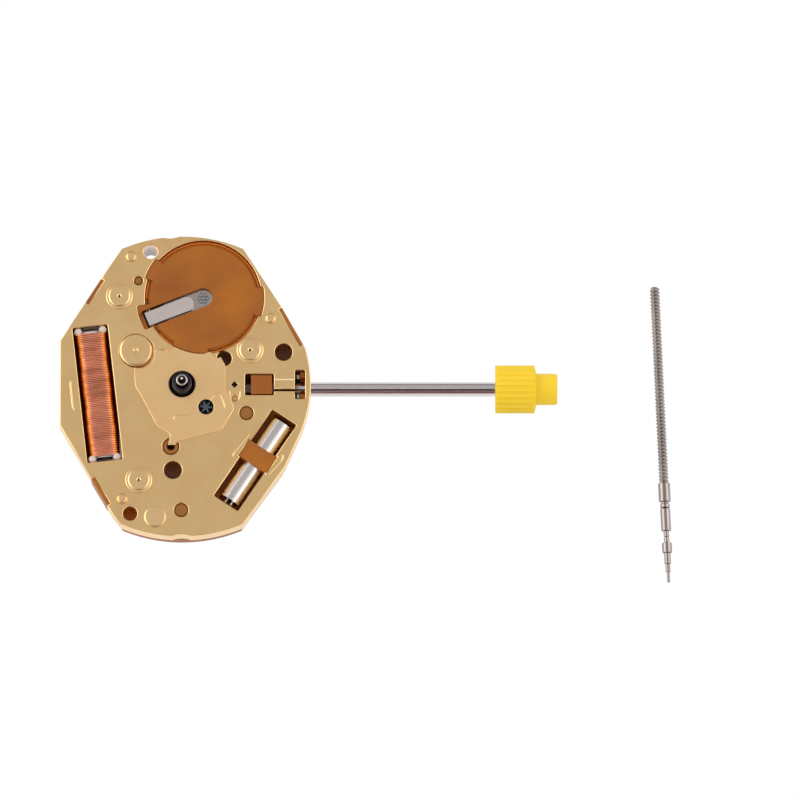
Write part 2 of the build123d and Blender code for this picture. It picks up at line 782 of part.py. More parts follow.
# Module carrier, a moulded plastic block with the cell cup, the wheel cavities and the keyless work's beds
with BuildPart() as module_carrier:
    with BuildSketch(Plane.XY.offset(carrier_back)):
        plate_face()
        offset(amount=-carrier_inset)
    extrude(amount=carrier_thickness)
    with BuildSketch(Plane.XY.offset(wall_back)):
        discs([cell_centre], cup_outside)
    extrude(amount=cup_lid_bottom - wall_back)
    with BuildSketch(Plane.XY.offset(plate_bottom)):
        lobe_face(lobes[1:2])
    extrude(amount=cup_lid_bottom - plate_bottom)
    with BuildSketch(level(cup_lid_bottom, cell_centre)):
        Circle(cup_lid_radius)
    extrude(amount=cup_floor)
    chamfer(module_carrier.faces().sort_by(Axis.Z)[-1].edges(), cup_lid_bevel)
    with BuildSketch(Plane.XY.offset(cup_lid_bottom)):
        lobe_face()
    extrude(amount=cup_floor)
    with BuildSketch(Plane.XY.offset(plate_bottom)):
        discs(peg_places, peg_radius - seat)
        discs([ring_peg[:2]], ring_peg[2] - seat)
        discs([small_peg[:2]], small_peg[2] - seat)
    extrude(amount=plate_thickness - cup_sink)
    with BuildSketch(Plane.XY.offset(plate_bottom)):
        discs([ring_peg[:2]], ring_peg[3])
    extrude(amount=plate_thickness, mode=Mode.SUBTRACT)
    with BuildSketch(level(plate_bottom - strap_root, crystal_centre, crystal_turn)):
        with Locations((strap_shift, 0)):
            Rectangle(strap_width, crystal_window[1] + 2 * strap_root)
    extrude(amount=strap_top - plate_bottom + strap_root)
    with BuildSketch(Plane.XY.offset(plate_bottom)):
        with Locations(((stem_block[0] + stem_block[1]) / 2, -(block_room - seat + block_wall) / 2)):
            Rectangle(stem_block[1] - stem_block[0], block_room - seat - block_wall)
    extrude(amount=block_flange_top - plate_bottom)
    with BuildSketch(Plane.XY.offset(block_flange_top - block_flange)):
        with Locations(((stem_block[0] + stem_block[1]) / 2, 0)):
            Rectangle(stem_block[1] - stem_block[0], 2 * (block_room - seat))
    extrude(amount=block_flange)
    with BuildSketch(Plane.XY.offset(block_flange_top)):
        with Locations(((stem_block[0] + stem_block[1]) / 2, 0)):
            Rectangle(stem_block[1] - stem_block[0], 2 * stem_block[2])
    extrude(amount=plate_top - cup_sink - block_flange_top)
    with BuildSketch(Plane.XY.offset(plate_bottom)):
        with Locations(*[(slot_post[0], side * slot_post[1]) for side in (-1, 1)]):
            Rectangle(slot_post[2], slot_post[3])
    extrude(amount=slot_post_height)
    with BuildSketch(Plane.XY.offset(plate_bottom - rim_lug_root)):
        for start, end, first, last in rim_lugs:
            edge_strip(start, end, first, last, rim_lug_depth, 0)
    extrude(amount=plate_thickness + rim_lug_root - cup_sink)
    with BuildSketch(Plane.XY.offset(movement_back)):
        discs(foot_places, foot_radius)
    extrude(amount=carrier_back - movement_back)
    with BuildSketch(Plane.XY.offset(wall_back)):
        discs([cell_centre], cup_bore)
    extrude(amount=cup_lid_bottom - wall_back, mode=Mode.SUBTRACT)
    with BuildSketch(level(cup_lid_bottom, contact_tip, contact_turn)):
        with Locations((-contact_length / 2, 0)):
            slot_across = contact_width + 2 * contact_slot_play
            SlotOverall(contact_length + slot_across, slot_across)
    extrude(amount=cup_floor, mode=Mode.SUBTRACT)
    with BuildSketch(level(carrier_back, contact_tip, contact_turn)):
        with Locations((-(contact_leg_near + contact_leg_far) / 2, 0)):
            Rectangle(contact_leg_far - contact_leg_near, contact_width + 2 * contact_slot_play)
    extrude(amount=cup_lid_top - carrier_back, mode=Mode.SUBTRACT)
    with BuildSketch(level(carrier_back, contact_tip, contact_turn)):
        with Locations((-(contact_leg_near + contact_foot_far) / 2, 0)):
            Rectangle(contact_foot_far - contact_leg_near, contact_width + 2 * contact_slot_play)
    extrude(amount=2 * contact_sheet, mode=Mode.SUBTRACT)
    with BuildSketch(Plane.XY.offset(carrier_back)):
        Circle(tip_radius(centre_teeth, centre_module) + sweep_room)
        discs([third_centre], tip_radius(third_teeth, third_module) + sweep_room)
        discs([intermediate_centre], tip_radius(intermediate_teeth, rotor_module) + sweep_room)
        discs([rotor_centre], stator_hole + sweep_room)
    extrude(amount=stator_bottom - carrier_back, mode=Mode.SUBTRACT)
    with BuildSketch(Plane.XY.offset(stator_bottom)):
        Circle(tip_radius(centre_teeth, centre_module) + sweep_room)
        discs([third_centre], tip_radius(pinion_leaves, centre_module) + sweep_room)
        discs([intermediate_centre], arbor_radius + sweep_room)
        stator_face(seat)
        discs([rotor_centre], stator_hole + sweep_room)
    extrude(amount=stator_thickness, mode=Mode.SUBTRACT)
    with BuildSketch(level(trough_floor, coil_centre, coil_turn)):
        RectangleRounded(cheek_width + 4 * seat, bobbin_length + 4 * seat, window_round)
    extrude(amount=plate_bottom - trough_floor, mode=Mode.SUBTRACT)
    with BuildSketch(crystal_across(-crystal_window[0] / 2)):
        Circle(can_radius + seat)
    extrude(amount=crystal_window[0], mode=Mode.SUBTRACT)
    with BuildSketch(level(carrier_back, crystal_centre, crystal_turn)):
        with Locations((lead_drop, 0)):
            Rectangle(lead_room, lead_spread + 4 * lead_radius)
    extrude(amount=carrier_thickness, mode=Mode.SUBTRACT)
    with BuildSketch(Plane.XY.offset(carrier_back)):
        plugs(pillar_places, pillar_radius + seat)
        discs(dial_foot_holes[:1], dial_foot_radius)
    extrude(amount=carrier_thickness, mode=Mode.SUBTRACT)
    with BuildSketch(Plane.XY.offset(-pin_length - seat)):
        plugs(pin_places, pin_radius + seat)
    extrude(amount=pin_length, mode=Mode.SUBTRACT)
    with BuildSketch(Plane.XY.offset(carrier_back)):
        plugs(bridge_screws, screw_radius + seat)
    extrude(amount=screw_length, mode=Mode.SUBTRACT)
    with BuildSketch(across(pilot_bearing)):
        Circle(pilot_radius + running)
    extrude(amount=square_start - pilot_bearing, mode=Mode.SUBTRACT)
    with BuildSketch(across(square_start)):
        Circle(square_side / sqrt(2) + 2 * running)
    extrude(amount=clutch_bed[0] - square_start + 0.01, mode=Mode.SUBTRACT)
    with BuildSketch(Plane.XY.offset(stem_z - clutch_bed[2])):
        with Locations(((clutch_bed[0] + clutch_bed[1]) / 2, 0)):
            Rectangle(clutch_bed[1] - clutch_bed[0], 2 * clutch_bed[2])
    extrude(amount=plate_bottom - stem_z + clutch_bed[2], mode=Mode.SUBTRACT)
    with BuildSketch(across(clutch_bed[1] - 0.01)):
        Circle(stem_radius + running)
    extrude(amount=stem_side_radius, mode=Mode.SUBTRACT)
    with BuildSketch(Plane.XY.offset(lever_bottom - lever_play)):
        with Locations(((lever_bed[0] + lever_bed[1]) / 2, 0)):
            Rectangle(lever_bed[1] - lever_bed[0], 2 * (lever_half + lever_play))
    extrude(amount=plate_bottom - lever_bottom + lever_play, mode=Mode.SUBTRACT)
    with BuildSketch(Plane.XY.offset(clip_bottom)):
        with Locations((clip_start + clip_thickness / 2, 0)):
            Rectangle(clip_thickness + 2 * seat, 2 * (clip_half + seat))
    extrude(amount=plate_bottom - clip_bottom, mode=Mode.SUBTRACT)
    with BuildSketch(Plane.XY.offset(yoke_bottom - yoke_play)):
        Polygon(*yoke_bed, align=None)
    extrude(amount=plate_bottom - yoke_bottom + yoke_play, mode=Mode.SUBTRACT)
    with BuildSketch(Plane.XY.offset(yoke_bottom - yoke_play)):
        discs([yoke_pivot], yoke_post)
        discs([spring_post], spring_post_radius)
    extrude(amount=plate_bottom - yoke_bottom + yoke_play)
    with BuildSketch(Plane.XY.offset(plate_bottom)):
        discs([setting_centre], setting_post)
    extrude(amount=minute_wheel_top - plate_bottom)
module_carrier.part.label = "module_carrier"
export_step(module_carrier.part, "parts/module_carrier.step")

# Negative contact: a spring strip over the cell, its tip bent down, its leg through the carrier to the board
with BuildPart() as negative_contact:
    with BuildSketch(Plane(
        origin=(contact_tip[0], contact_tip[1], 0),
        x_dir=(cos(radians(contact_turn)), sin(radians(contact_turn)), 0),
        z_dir=(sin(radians(contact_turn)), -cos(radians(contact_turn)), 0),
    )):
        Polygon(*contact_profile, align=None)
    extrude(amount=contact_width / 2, both=True)
    with BuildSketch(level(carrier_back, contact_tip, contact_turn)):
        with Locations((-contact_foot_far / 2, 0)):
            Rectangle(contact_foot_far, contact_width)
        Circle(contact_width / 2)
    extrude(amount=-carrier_back, mode=Mode.INTERSECT)
negative_contact.part.label = "negative_contact"
export_step(negative_contact.part, "parts/negative_contact.step")

# Button cell: the cap with the gasket step faces the dial side, the case faces the back
with BuildPart() as button_cell:
    with BuildSketch(level(cell_bottom, cell_centre)):
        Circle(cell_radius)
    extrude(amount=cell_height - cell_step)
    chamfer(button_cell.faces().sort_by(Axis.Z)[0].edges(), cell_edge)
    with BuildSketch(level(cell_top - cell_step, cell_centre)):
        Circle(cell_cap_radius)
    extrude(amount=cell_step)
    chamfer(button_cell.faces().sort_by(Axis.Z)[-1].edges(), cell_step / 2)
button_cell.part.label = "button_cell"
export_step(button_cell.part, "parts/button_cell.step")

# Cell clamp, the positive contact on the back, held by two pillar screws, with two fingers over the cell
with BuildPart() as cell_clamp:
    with BuildSketch(Plane.XY.offset(clamp_back)):
        sector(clamp_outside, clamp_first, clamp_last, cell_centre)
        for place in pillar_places[:2]:
            discs([place], clamp_lug)
            bar(cell_centre, place, clamp_bar)
        with Locations(cell_centre):
            Circle(clamp_inside, mode=Mode.SUBTRACT)
    extrude(amount=clamp_thickness)
    with BuildSketch(Plane.XY.offset(clamp_back)):
        plugs(pillar_places[:2], screw_radius + seat)
    extrude(amount=clamp_thickness, mode=Mode.SUBTRACT)
    for angle in finger_angles:
        with BuildSketch(level(movement_back, cell_centre, angle)):
            with Locations(((finger_tip + finger_root) / 2, 0)):
                Rectangle(finger_root - finger_tip, clamp_finger_width)
        extrude(amount=finger_thickness)
        with BuildSketch(level(movement_back, cell_centre, angle)):
            with Locations((finger_root - clamp_thickness / 2, 0)):
                Rectangle(clamp_thickness, clamp_finger_width)
        extrude(amount=bridge_back - movement_back)
cell_clamp.part.label = "cell_clamp"
export_step(cell_clamp.part, "parts/cell_clamp.step")

# Coil core, a flat steel bar through the bobbin
with BuildPart() as coil_core:
    with BuildSketch(level(core_bottom, coil_centre, coil_turn)):
        Rectangle(core_width, core_length)
    extrude(amount=core_thickness)
coil_core.part.label = "coil_core"
export_step(coil_core.part, "parts/coil_core.step")

# Bobbin: the drum that carries the winding, with a cheek at each end
with BuildPart() as coil_bobbin:
    with BuildSketch(coil_across(-winding_length / 2)):
        Circle(drum_radius)
    extrude(amount=winding_length)
    for start in (-winding_length / 2 - cheek_thickness, winding_length / 2):
        with BuildSketch(coil_across(start)):
            RectangleRounded(cheek_width, 2 * (drum_radius + wire), window_round)
        extrude(amount=cheek_thickness)
    with BuildSketch(level(core_bottom, coil_centre, coil_turn)):
        Rectangle(core_width, core_length)
    extrude(amount=core_thickness, mode=Mode.SUBTRACT)
coil_bobbin.part.label = "coil_bobbin"
export_step(coil_bobbin.part, "parts/coil_bobbin.step")


def winding_point(angle):
    """A point of the wire's centre line, at an angle wound round the drum from its lower end."""
    radius = drum_radius + wire / 2
    travel = winding_length - 2 * wire
    along = -travel / 2 + travel * angle / (360 * turns + 180)
    place = coil_point(radius * cos(radians(angle)), along)
    return Vector(place[0], place[1], coil_z + radius * sin(radians(angle)))


def winding_direction(angle):
    """The wire's direction at an angle: level with the helix, but square to the trough at both ends."""
    if angle <= 0:
        return Vector(0, 0, 1)
    if angle >= 360 * turns + 180:
        return Vector(0, 0, -1)
    return (winding_point(angle + 1) - winding_point(angle - 1)).normalized()


def biarc(first, last):
    """Draw two tangent arcs between two angles of the winding."""
    start, end = winding_point(first), winding_point(last)
    leave, arrive = winding_direction(first), winding_direction(last)
    chord = end - start
    both = leave + arrive
    bend = 2 * (1 - leave.dot(arrive))
    reach = (-chord.dot(both) + sqrt(chord.dot(both) ** 2 + bend * chord.dot(chord))) / bend
    middle = (start + leave * reach + end - arrive * reach) / 2
    TangentArc(start, middle, tangent=leave)
    TangentArc(end, middle, tangent=arrive * -1)


# Outer layer of the winding, one unbroken wire over the drum, its two ends straight down into the trough
with BuildPart() as coil_winding:
    with BuildLine() as wire_route:
        Line(winding_point(0) - Vector(0, 0, coil_z - trough_floor), winding_point(0))
        for half in range(2 * turns + 1):
            biarc(180 * half, 180 * (half + 1))
        last_point = winding_point(360 * turns + 180)
        Line(last_point, last_point - Vector(0, 0, coil_z - trough_floor))
    with BuildSketch(Plane(origin=wire_route.line @ 0, z_dir=(0, 0, 1))):
        RegularPolygon(wire / 2, wire_sides)
    sweep(path=wire_route.line)
coil_winding.part.label = "coil_winding"
export_step(coil_winding.part, "parts/coil_winding.step")
samples = [winding_point(step) for step in range(0, 360 * turns + 180, gap_step)]
apart = 180 // gap_step
least_gap = min((b - a).length for i, a in enumerate(samples) for b in samples[i + apart:]) - wire
print(f"least gap of the winding to itself {least_gap:.3f} mm, wire volume {coil_winding.part.volume:.4f} mm3")

# Stator plate that carries the coil's field to the rotor
with BuildPart() as stator:
    with BuildSketch(Plane.XY.offset(stator_bottom)):
        stator_face()
        with Locations(rotor_centre):
            Circle(stator_hole, mode=Mode.SUBTRACT)
    extrude(amount=stator_thickness)
stator.part.label = "stator"
export_step(stator.part, "parts/stator.step")

# Crystal can, lying in its cradle, with the crimped lip at the lead end
with BuildPart() as crystal_can:
    with BuildSketch(crystal_across(can_shift - can_length / 2)):
        Circle(can_radius)
    extrude(amount=can_length)
    with BuildSketch(crystal_across(can_shift - can_length / 2 + lip_length)):
        Circle(can_radius)
        Circle(can_radius - lip_depth, mode=Mode.SUBTRACT)
    extrude(amount=lip_groove, mode=Mode.SUBTRACT)
crystal_can.part.label = "crystal_can"
export_step(crystal_can.part, "parts/crystal_can.step")

# The crystal's two leads, bent down to the board
with BuildPart() as crystal_leads:
    for side in (-lead_spread / 2, lead_spread / 2):
        with BuildLine() as lead:
            FilletPolyline(
                crystal_point(can_shift - can_length / 2, side, crystal_z),
                crystal_point(lead_drop, side, crystal_z),
                crystal_point(lead_drop, side, carrier_back),
                radius=lead_bend,
            )
        with BuildSketch(crystal_across(can_shift - can_length / 2)):
            with Locations((side, 0)):
                RegularPolygon(lead_radius, lead_sides)
        sweep(path=lead.line)
crystal_leads.part.label = "crystal_leads"
export_step(crystal_leads.part, "parts/crystal_leads.step")

# Circuit board on the carrier's back, round the train bridge and the cell
with BuildPart() as circuit_board:
    with BuildSketch(Plane.XY.offset(board_back)):
        plate_face()
        offset(amount=-board_inset)
    extrude(amount=board_thickness)
    with BuildSketch(Plane.XY.offset(board_back)):
        bridge_face(board_room)
    extrude(amount=board_thickness, mode=Mode.SUBTRACT)
    with BuildSketch(Plane.XY.offset(board_back)):
        discs([cell_centre], cup_outside + 2 * seat)
        discs(foot_places, foot_radius + seat)
        plugs(pillar_places[:2], pillar_radius + seat)
        discs(dial_foot_holes[:1], dial_foot_radius)
        plugs(pillar_places[2:], screw_radius + seat)
    extrude(amount=board_thickness, mode=Mode.SUBTRACT)
circuit_board.part.label = "circuit_board"
export_step(circuit_board.part, "parts/circuit_board.step")

# Moulded block of the chip on the board
with BuildPart() as circuit_block:
    with BuildSketch(level(board_back, block_place)):
        Rectangle(*block_size)
    extrude(amount=-block_height, taper=8)
circuit_block.part.label = "circuit_block"
export_step(circuit_block.part, "parts/circuit_block.step")

# Train bridge with the lower bearings of the wheels
with BuildPart() as train_bridge:
    with BuildSketch(Plane.XY.offset(bridge_back)):
        bridge_face()
    extrude(amount=bridge_thickness)
    with BuildSketch(Plane.XY.offset(bridge_back)):
        Circle(seconds_radius + running)
        discs([third_centre, intermediate_centre], arbor_radius + running)
        discs([rotor_centre], rotor_arbor_radius + running)
        plugs(bridge_screws, screw_radius + seat)
    extrude(amount=bridge_thickness, mode=Mode.SUBTRACT)
train_bridge.part.label = "train_bridge"
export_step(train_bridge.part, "parts/train_bridge.step")

# Screws of the back, with slotted heads
with BuildPart() as back_screws:
    seats = (clamp_back, clamp_back, board_back, bridge_back, bridge_back)
    for place, under in zip((*pillar_places, *bridge_screws), seats):
        with BuildSketch(level(under, place)):
            Circle(screw_head_radius)
        extrude(amount=-screw_head_height)
        with BuildSketch(Plane.XY.offset(under)):
            plugs([place], screw_radius)
        extrude(amount=carrier_back - under + screw_length - 0.1)
        with BuildSketch(level(under - screw_head_height, place, bearing((0, 0), place))):
            Rectangle(2 * screw_head_radius, screw_slot)
        extrude(amount=screw_slot, mode=Mode.SUBTRACT)
back_screws.part.label = "back_screws"
export_step(back_screws.part, "parts/back_screws.step")

# Stem clip, an upright fork on both sides of the stem under the slot window
with BuildPart() as stem_clip:
    with BuildSketch(across(clip_start)):
        with Locations((0, (clip_top + clip_bottom) / 2 - stem_z)):
            Rectangle(2 * clip_half, clip_top - clip_bottom)
        with Locations((0, (clip_top + clip_bottom + clip_base) / 2 - stem_z)):
            Rectangle(2 * clip_inner, clip_top - clip_bottom - clip_base, mode=Mode.SUBTRACT)
    extrude(amount=clip_thickness)
stem_clip.part.label = "stem_clip"
export_step(stem_clip.part, "parts/stem_clip.step")

# Setting lever: a slide under the stem whose two prongs stand in the stem's groove
with BuildPart() as setting_lever:
    with BuildSketch(Plane.XY.offset(lever_bottom)):
        with Locations(((lever_span[0] + lever_span[1]) / 2, 0)):
            Rectangle(lever_span[1] - lever_span[0], 2 * lever_half)
    extrude(amount=lever_thickness)
    with BuildSketch(Plane.XY.offset(lever_bottom + lever_thickness)):
        for side in (-1, 1):
            with Locations((prong_start + prong_thickness / 2, side * (prong_inner + prong_outer) / 2)):
                Rectangle(prong_thickness, prong_outer - prong_inner)
    extrude(amount=prong_top - lever_bottom - lever_thickness)
setting_lever.part.label = "setting_lever"
export_step(setting_lever.part, "parts/setting_lever.step")

# Yoke: swings on its post and shifts the clutch by a finger in the clutch's groove
with BuildPart() as yoke:
    with BuildSketch(Plane.XY.offset(yoke_bottom)):
        discs([yoke_pivot], yoke_eye)
        bar(yoke_pivot, (yoke_pivot[0], yoke_arm_end), yoke_width)
        bar(yoke_pivot, (yoke_pivot[0], finger_reach), finger_width)
        with Locations(yoke_pivot):
            Circle(yoke_post + running, mode=Mode.SUBTRACT)
    extrude(amount=yoke_thickness)
yoke.part.label = "yoke"
export_step(yoke.part, "parts/yoke.step")

# Spring that presses the yoke
with BuildPart() as yoke_spring:
    with BuildSketch(Plane.XY.offset(yoke_bottom)):
        discs([spring_post], spring_eye)
        bar(spring_post, spring_end, spring_sheet)
        with Locations(spring_post):
            Circle(spring_post_radius + seat, mode=Mode.SUBTRACT)
    extrude(amount=yoke_thickness)
yoke_spring.part.label = "yoke_spring"
export_step(yoke_spring.part, "parts/yoke_spring.step")

# Transport stem: pilot, square, shoulder, groove and long shaft
stem_line = Plane(origin=(0, 0, stem_z), x_dir=(1, 0, 0), z_dir=(0, -1, 0))
stem_axis = Axis((0, 0, stem_z), (1, 0, 0))
with BuildPart() as transport_stem:
    with BuildSketch(stem_line):
        Polygon(
            (pilot_start, 0), (pilot_start, pilot_radius), (square_start, pilot_radius),
            (square_start, square_side / 2), (shoulder_start, square_side / 2), (shoulder_start, stem_radius),
            (groove_start, stem_radius), (groove_start, groove_radius),
            (groove_start + groove_width, groove_radius), (groove_start + groove_width, stem_radius),
            (knob_start + knob_grip, stem_radius), (knob_start + knob_grip, 0), align=None,
        )
    revolve(axis=stem_axis)
    with BuildSketch(across(square_start)):
        Rectangle(square_side, square_side)
    extrude(amount=shoulder_start - square_start)
transport_stem.part.label = "transport_stem"
export_step(transport_stem.part, "parts/transport_stem.step")

# Knob pushed on the transport stem: a ribbed grip with a dished face, and a smaller hub
with BuildPart() as stem_knob:
    with BuildSketch(across(knob_start)):
        ribs = [
            polar(reach, (rib + share) * 360 / knob_ribs)
            for rib in range(knob_ribs)
            for reach, share in (
                (knob_radius - rib_depth, -0.32), (knob_radius, -0.22), (knob_radius, 0.22),
                (knob_radius - rib_depth, 0.32),
            )
        ]
        Polygon(*ribs, align=None)
    extrude(amount=knob_length - knob_cone)
    with BuildSketch(stem_line):
        Polygon(
            (knob_start + knob_length - knob_cone, 0),
            (knob_start + knob_length - knob_cone, knob_radius - rib_depth),
            (knob_start + knob_length, hub_radius + knob_cone / 2),
            (knob_start + knob_length, hub_radius),
            (knob_start + knob_length + hub_length - hub_edge, hub_radius),
            (knob_start + knob_length + hub_length, hub_radius - hub_edge),
            (knob_start + knob_length + hub_length, 0), align=None,
        )
    revolve(axis=stem_axis)
    with BuildSketch(stem_line):
        Polygon(
            (knob_start, 0), (knob_start, knob_radius - knob_rim), (knob_start + knob_dish, stem_radius),
            (knob_start + knob_grip, stem_radius), (knob_start + knob_grip, 0), align=None,
        )
    revolve(axis=stem_axis, mode=Mode.SUBTRACT)
stem_knob.part.label = "stem_knob"
export_step(stem_knob.part, "parts/stem_knob.step")

# Clutch pinion on the stem's square: leaves, groove for the yoke, flange
with BuildPart() as clutch_pinion:
    clutch_module = clutch_radius / (clutch_leaves / 2 + addendum)
    with BuildSketch(across(clutch_start)):
        toothed(clutch_leaves, clutch_module, 0)
    extrude(amount=clutch_teeth_length)
    with BuildSketch(across(clutch_start + clutch_teeth_length)):
        Circle(clutch_groove_radius)
    extrude(amount=clutch_groove)
    with BuildSketch(across(clutch_start + clutch_teeth_length + clutch_groove)):
        Circle(clutch_radius)
    extrude(amount=clutch_flange)
    with BuildSketch(across(clutch_start)):
        Rectangle(square_side + 2 * running, square_side + 2 * running)
    extrude(amount=clutch_teeth_length + clutch_groove + clutch_flange, mode=Mode.SUBTRACT)
clutch_pinion.part.label = "clutch_pinion"
export_step(clutch_pinion.part, "parts/clutch_pinion.step")

# Rotor: the magnet and its pinion
rotor_turn = bearing(rotor_centre, intermediate_centre)
intermediate_turn = meshed_turn(rotor_turn, pinion_leaves, rotor_turn, intermediate_teeth)
with BuildPart() as rotor_magnet:
    with BuildSketch(level(magnet_bottom, rotor_centre)):
        Circle(magnet_radius)
        Circle(rotor_arbor_radius, mode=Mode.SUBTRACT)
    extrude(amount=magnet_top - magnet_bottom)
rotor_magnet.part.label = "rotor_magnet"
export_step(rotor_magnet.part, "parts/rotor_magnet.step")
with BuildPart() as rotor_pinion:
    with BuildSketch(level(pivot_end, rotor_centre)):
        Circle(rotor_arbor_radius)
    extrude(amount=plate_top - cap_depth + cap_bearing - 0.05 - pivot_end)
    with BuildSketch(Plane.XY.offset(intermediate_wheel_bottom - 0.08)):
        toothed(pinion_leaves, rotor_module, rotor_turn, rotor_centre)
    extrude(amount=magnet_bottom - intermediate_wheel_bottom + 0.08)
rotor_pinion.part.label = "rotor_pinion"
export_step(rotor_pinion.part, "parts/rotor_pinion.step")

# Intermediate wheel and pinion
with BuildPart() as intermediate_wheel:
    with BuildSketch(Plane.XY.offset(intermediate_wheel_bottom)):
        toothed(intermediate_teeth, rotor_module, intermediate_turn, intermediate_centre)
        with Locations(intermediate_centre):
            Circle(arbor_radius, mode=Mode.SUBTRACT)
    extrude(amount=wheel_thickness)
intermediate_wheel.part.label = "intermediate_wheel"
export_step(intermediate_wheel.part, "parts/intermediate_wheel.step")
pinion_turn = bearing(intermediate_centre, (0, 0))
seconds_turn = meshed_turn(pinion_turn, pinion_leaves, pinion_turn, seconds_teeth)
with BuildPart() as intermediate_pinion:
    with BuildSketch(level(pivot_end, intermediate_centre)):
        Circle(arbor_radius)
    extrude(amount=upper_pivot - pivot_end)
    with BuildSketch(Plane.XY.offset(seconds_wheel_bottom - axial_play)):
        toothed(pinion_leaves, seconds_module, pinion_turn, intermediate_centre)
    extrude(amount=intermediate_wheel_bottom - seconds_wheel_bottom + axial_play)
intermediate_pinion.part.label = "intermediate_pinion"
export_step(intermediate_pinion.part, "parts/intermediate_pinion.step")

# Seconds wheel and its arbor, which runs up through the cannon pinion
with BuildPart() as seconds_wheel:
    with BuildSketch(Plane.XY.offset(seconds_wheel_bottom)):
        toothed(seconds_teeth, seconds_module, seconds_turn)
        Circle(seconds_radius, mode=Mode.SUBTRACT)
    extrude(amount=wheel_thickness)
seconds_wheel.part.label = "seconds_wheel"
export_step(seconds_wheel.part, "parts/seconds_wheel.step")
third_turn = meshed_turn(third_bearing, pinion_leaves, third_bearing, third_teeth)
with BuildPart() as seconds_arbor:
    with BuildSketch(Plane.XZ):
        shoulder, seat_bottom = third_wheel_top + axial_play, seconds_top - seconds_seat_length
        Polygon(
            *seat_profile(seconds_radius, pivot_end, shoulder, seconds_seat_radius, seat_bottom, seconds_top),
            align=None,
        )
    revolve(axis=Axis.Z)
    with BuildSketch(Plane.XY.offset(third_wheel_bottom - 0.06)):
        toothed(pinion_leaves, third_module, third_bearing)
    extrude(amount=third_wheel_top - third_wheel_bottom + 0.10)
seconds_arbor.part.label = "seconds_arbor"
export_step(seconds_arbor.part, "parts/seconds_arbor.step")

# Third wheel and pinion
with BuildPart() as third_wheel:
    with BuildSketch(Plane.XY.offset(third_wheel_bottom)):
        toothed(third_teeth, third_module, third_turn, third_centre)
        with Locations(third_centre):
            Circle(arbor_radius, mode=Mode.SUBTRACT)
    extrude(amount=wheel_thickness)
third_wheel.part.label = "third_wheel"
export_step(third_wheel.part, "parts/third_wheel.step")
centre_turn = meshed_turn(third_bearing + 180, pinion_leaves, third_bearing + 180, centre_teeth)
with BuildPart() as third_pinion:
    with BuildSketch(level(pivot_end, third_centre)):
        Circle(arbor_radius)
    extrude(amount=upper_pivot - pivot_end)
    with BuildSketch(Plane.XY.offset(third_wheel_top)):
        toothed(pinion_leaves, centre_module, third_bearing + 180, third_centre)
    extrude(amount=centre_wheel_top - third_wheel_top + axial_play)
third_pinion.part.label = "third_pinion"
export_step(third_pinion.part, "parts/third_pinion.step")

# Centre wheel on the cannon pinion
with BuildPart() as centre_wheel:
    with BuildSketch(Plane.XY.offset(centre_wheel_bottom)):
        toothed(centre_teeth, centre_module, centre_turn)
        Circle(cannon_radius, mode=Mode.SUBTRACT)
    extrude(amount=wheel_thickness)
centre_wheel.part.label = "centre_wheel"
export_step(centre_wheel.part, "parts/centre_wheel.step")
cannon_turn = bearing((0, 0), minute_centre)
minute_turn = meshed_turn(cannon_turn, cannon_teeth, cannon_turn, minute_teeth)
with BuildPart() as cannon_pinion:
    with BuildSketch(Plane.XZ):
        shoulder, seat_bottom = cannon_pinion_top, cannon_top - minute_seat_length
        Polygon(
            *seat_profile(cannon_radius, cannon_bottom, shoulder, minute_seat_radius, seat_bottom, cannon_top),
            align=None,
        )
    revolve(axis=Axis.Z)
    with BuildSketch(Plane.XY.offset(cannon_pinion_bottom)):
        toothed(cannon_teeth, motion_module, cannon_turn)
    extrude(amount=cannon_pinion_top - cannon_pinion_bottom)
    with BuildSketch(Plane.XY.offset(cannon_bottom)):
        Circle(seconds_radius + running + 0.01)
    extrude(amount=cannon_top - cannon_bottom, mode=Mode.SUBTRACT)
cannon_pinion.part.label = "cannon_pinion"
export_step(cannon_pinion.part, "parts/cannon_pinion.step")

# Minute wheel and its six-leaved pinion, the dark star in the cover's small hole
with BuildPart() as minute_wheel:
    with BuildSketch(Plane.XY.offset(minute_wheel_bottom)):
        toothed(minute_teeth, motion_module, minute_turn, minute_centre)
        with Locations(minute_centre):
            Circle(arbor_radius, mode=Mode.SUBTRACT)
    extrude(amount=motion_wheel_thickness)
minute_wheel.part.label = "minute_wheel"
export_step(minute_wheel.part, "parts/minute_wheel.step")
with BuildPart() as minute_pinion:
    with BuildSketch(level(plate_bottom + 0.05, minute_centre)):
        Circle(arbor_radius)
    extrude(amount=minute_wheel_top - plate_bottom - 0.05)
    with BuildSketch(Plane.XY.offset(minute_wheel_top)):
        toothed(minute_leaves, motion_module, star_turn, minute_centre)
    extrude(amount=-leaf_top_gap - minute_wheel_top)
minute_pinion.part.label = "minute_pinion"
export_step(minute_pinion.part, "parts/minute_pinion.step")

# Hour wheel with its pipe
hour_turn = meshed_turn(bearing(minute_centre, (0, 0)), minute_leaves, star_turn, hour_teeth)
with BuildPart() as hour_wheel:
    with BuildSketch(Plane.XZ):
        Polygon(
            *seat_profile(
                hour_hub_radius, hour_hub_bottom, -hour_hub_bevel, hour_seat_radius, 0, hour_pipe_top,
            ),
            align=None,
        )
    revolve(axis=Axis.Z)
    with BuildSketch(Plane.XY.offset(hour_wheel_bottom)):
        toothed(hour_teeth, motion_module, hour_turn)
    extrude(amount=motion_wheel_thickness)
    with BuildSketch(Plane.XY.offset(hour_hub_bottom)):
        Circle(cannon_radius + running)
    extrude(amount=hour_pipe_top - hour_hub_bottom, mode=Mode.SUBTRACT)
hour_wheel.part.label = "hour_wheel"
export_step(hour_wheel.part, "parts/hour_wheel.step")

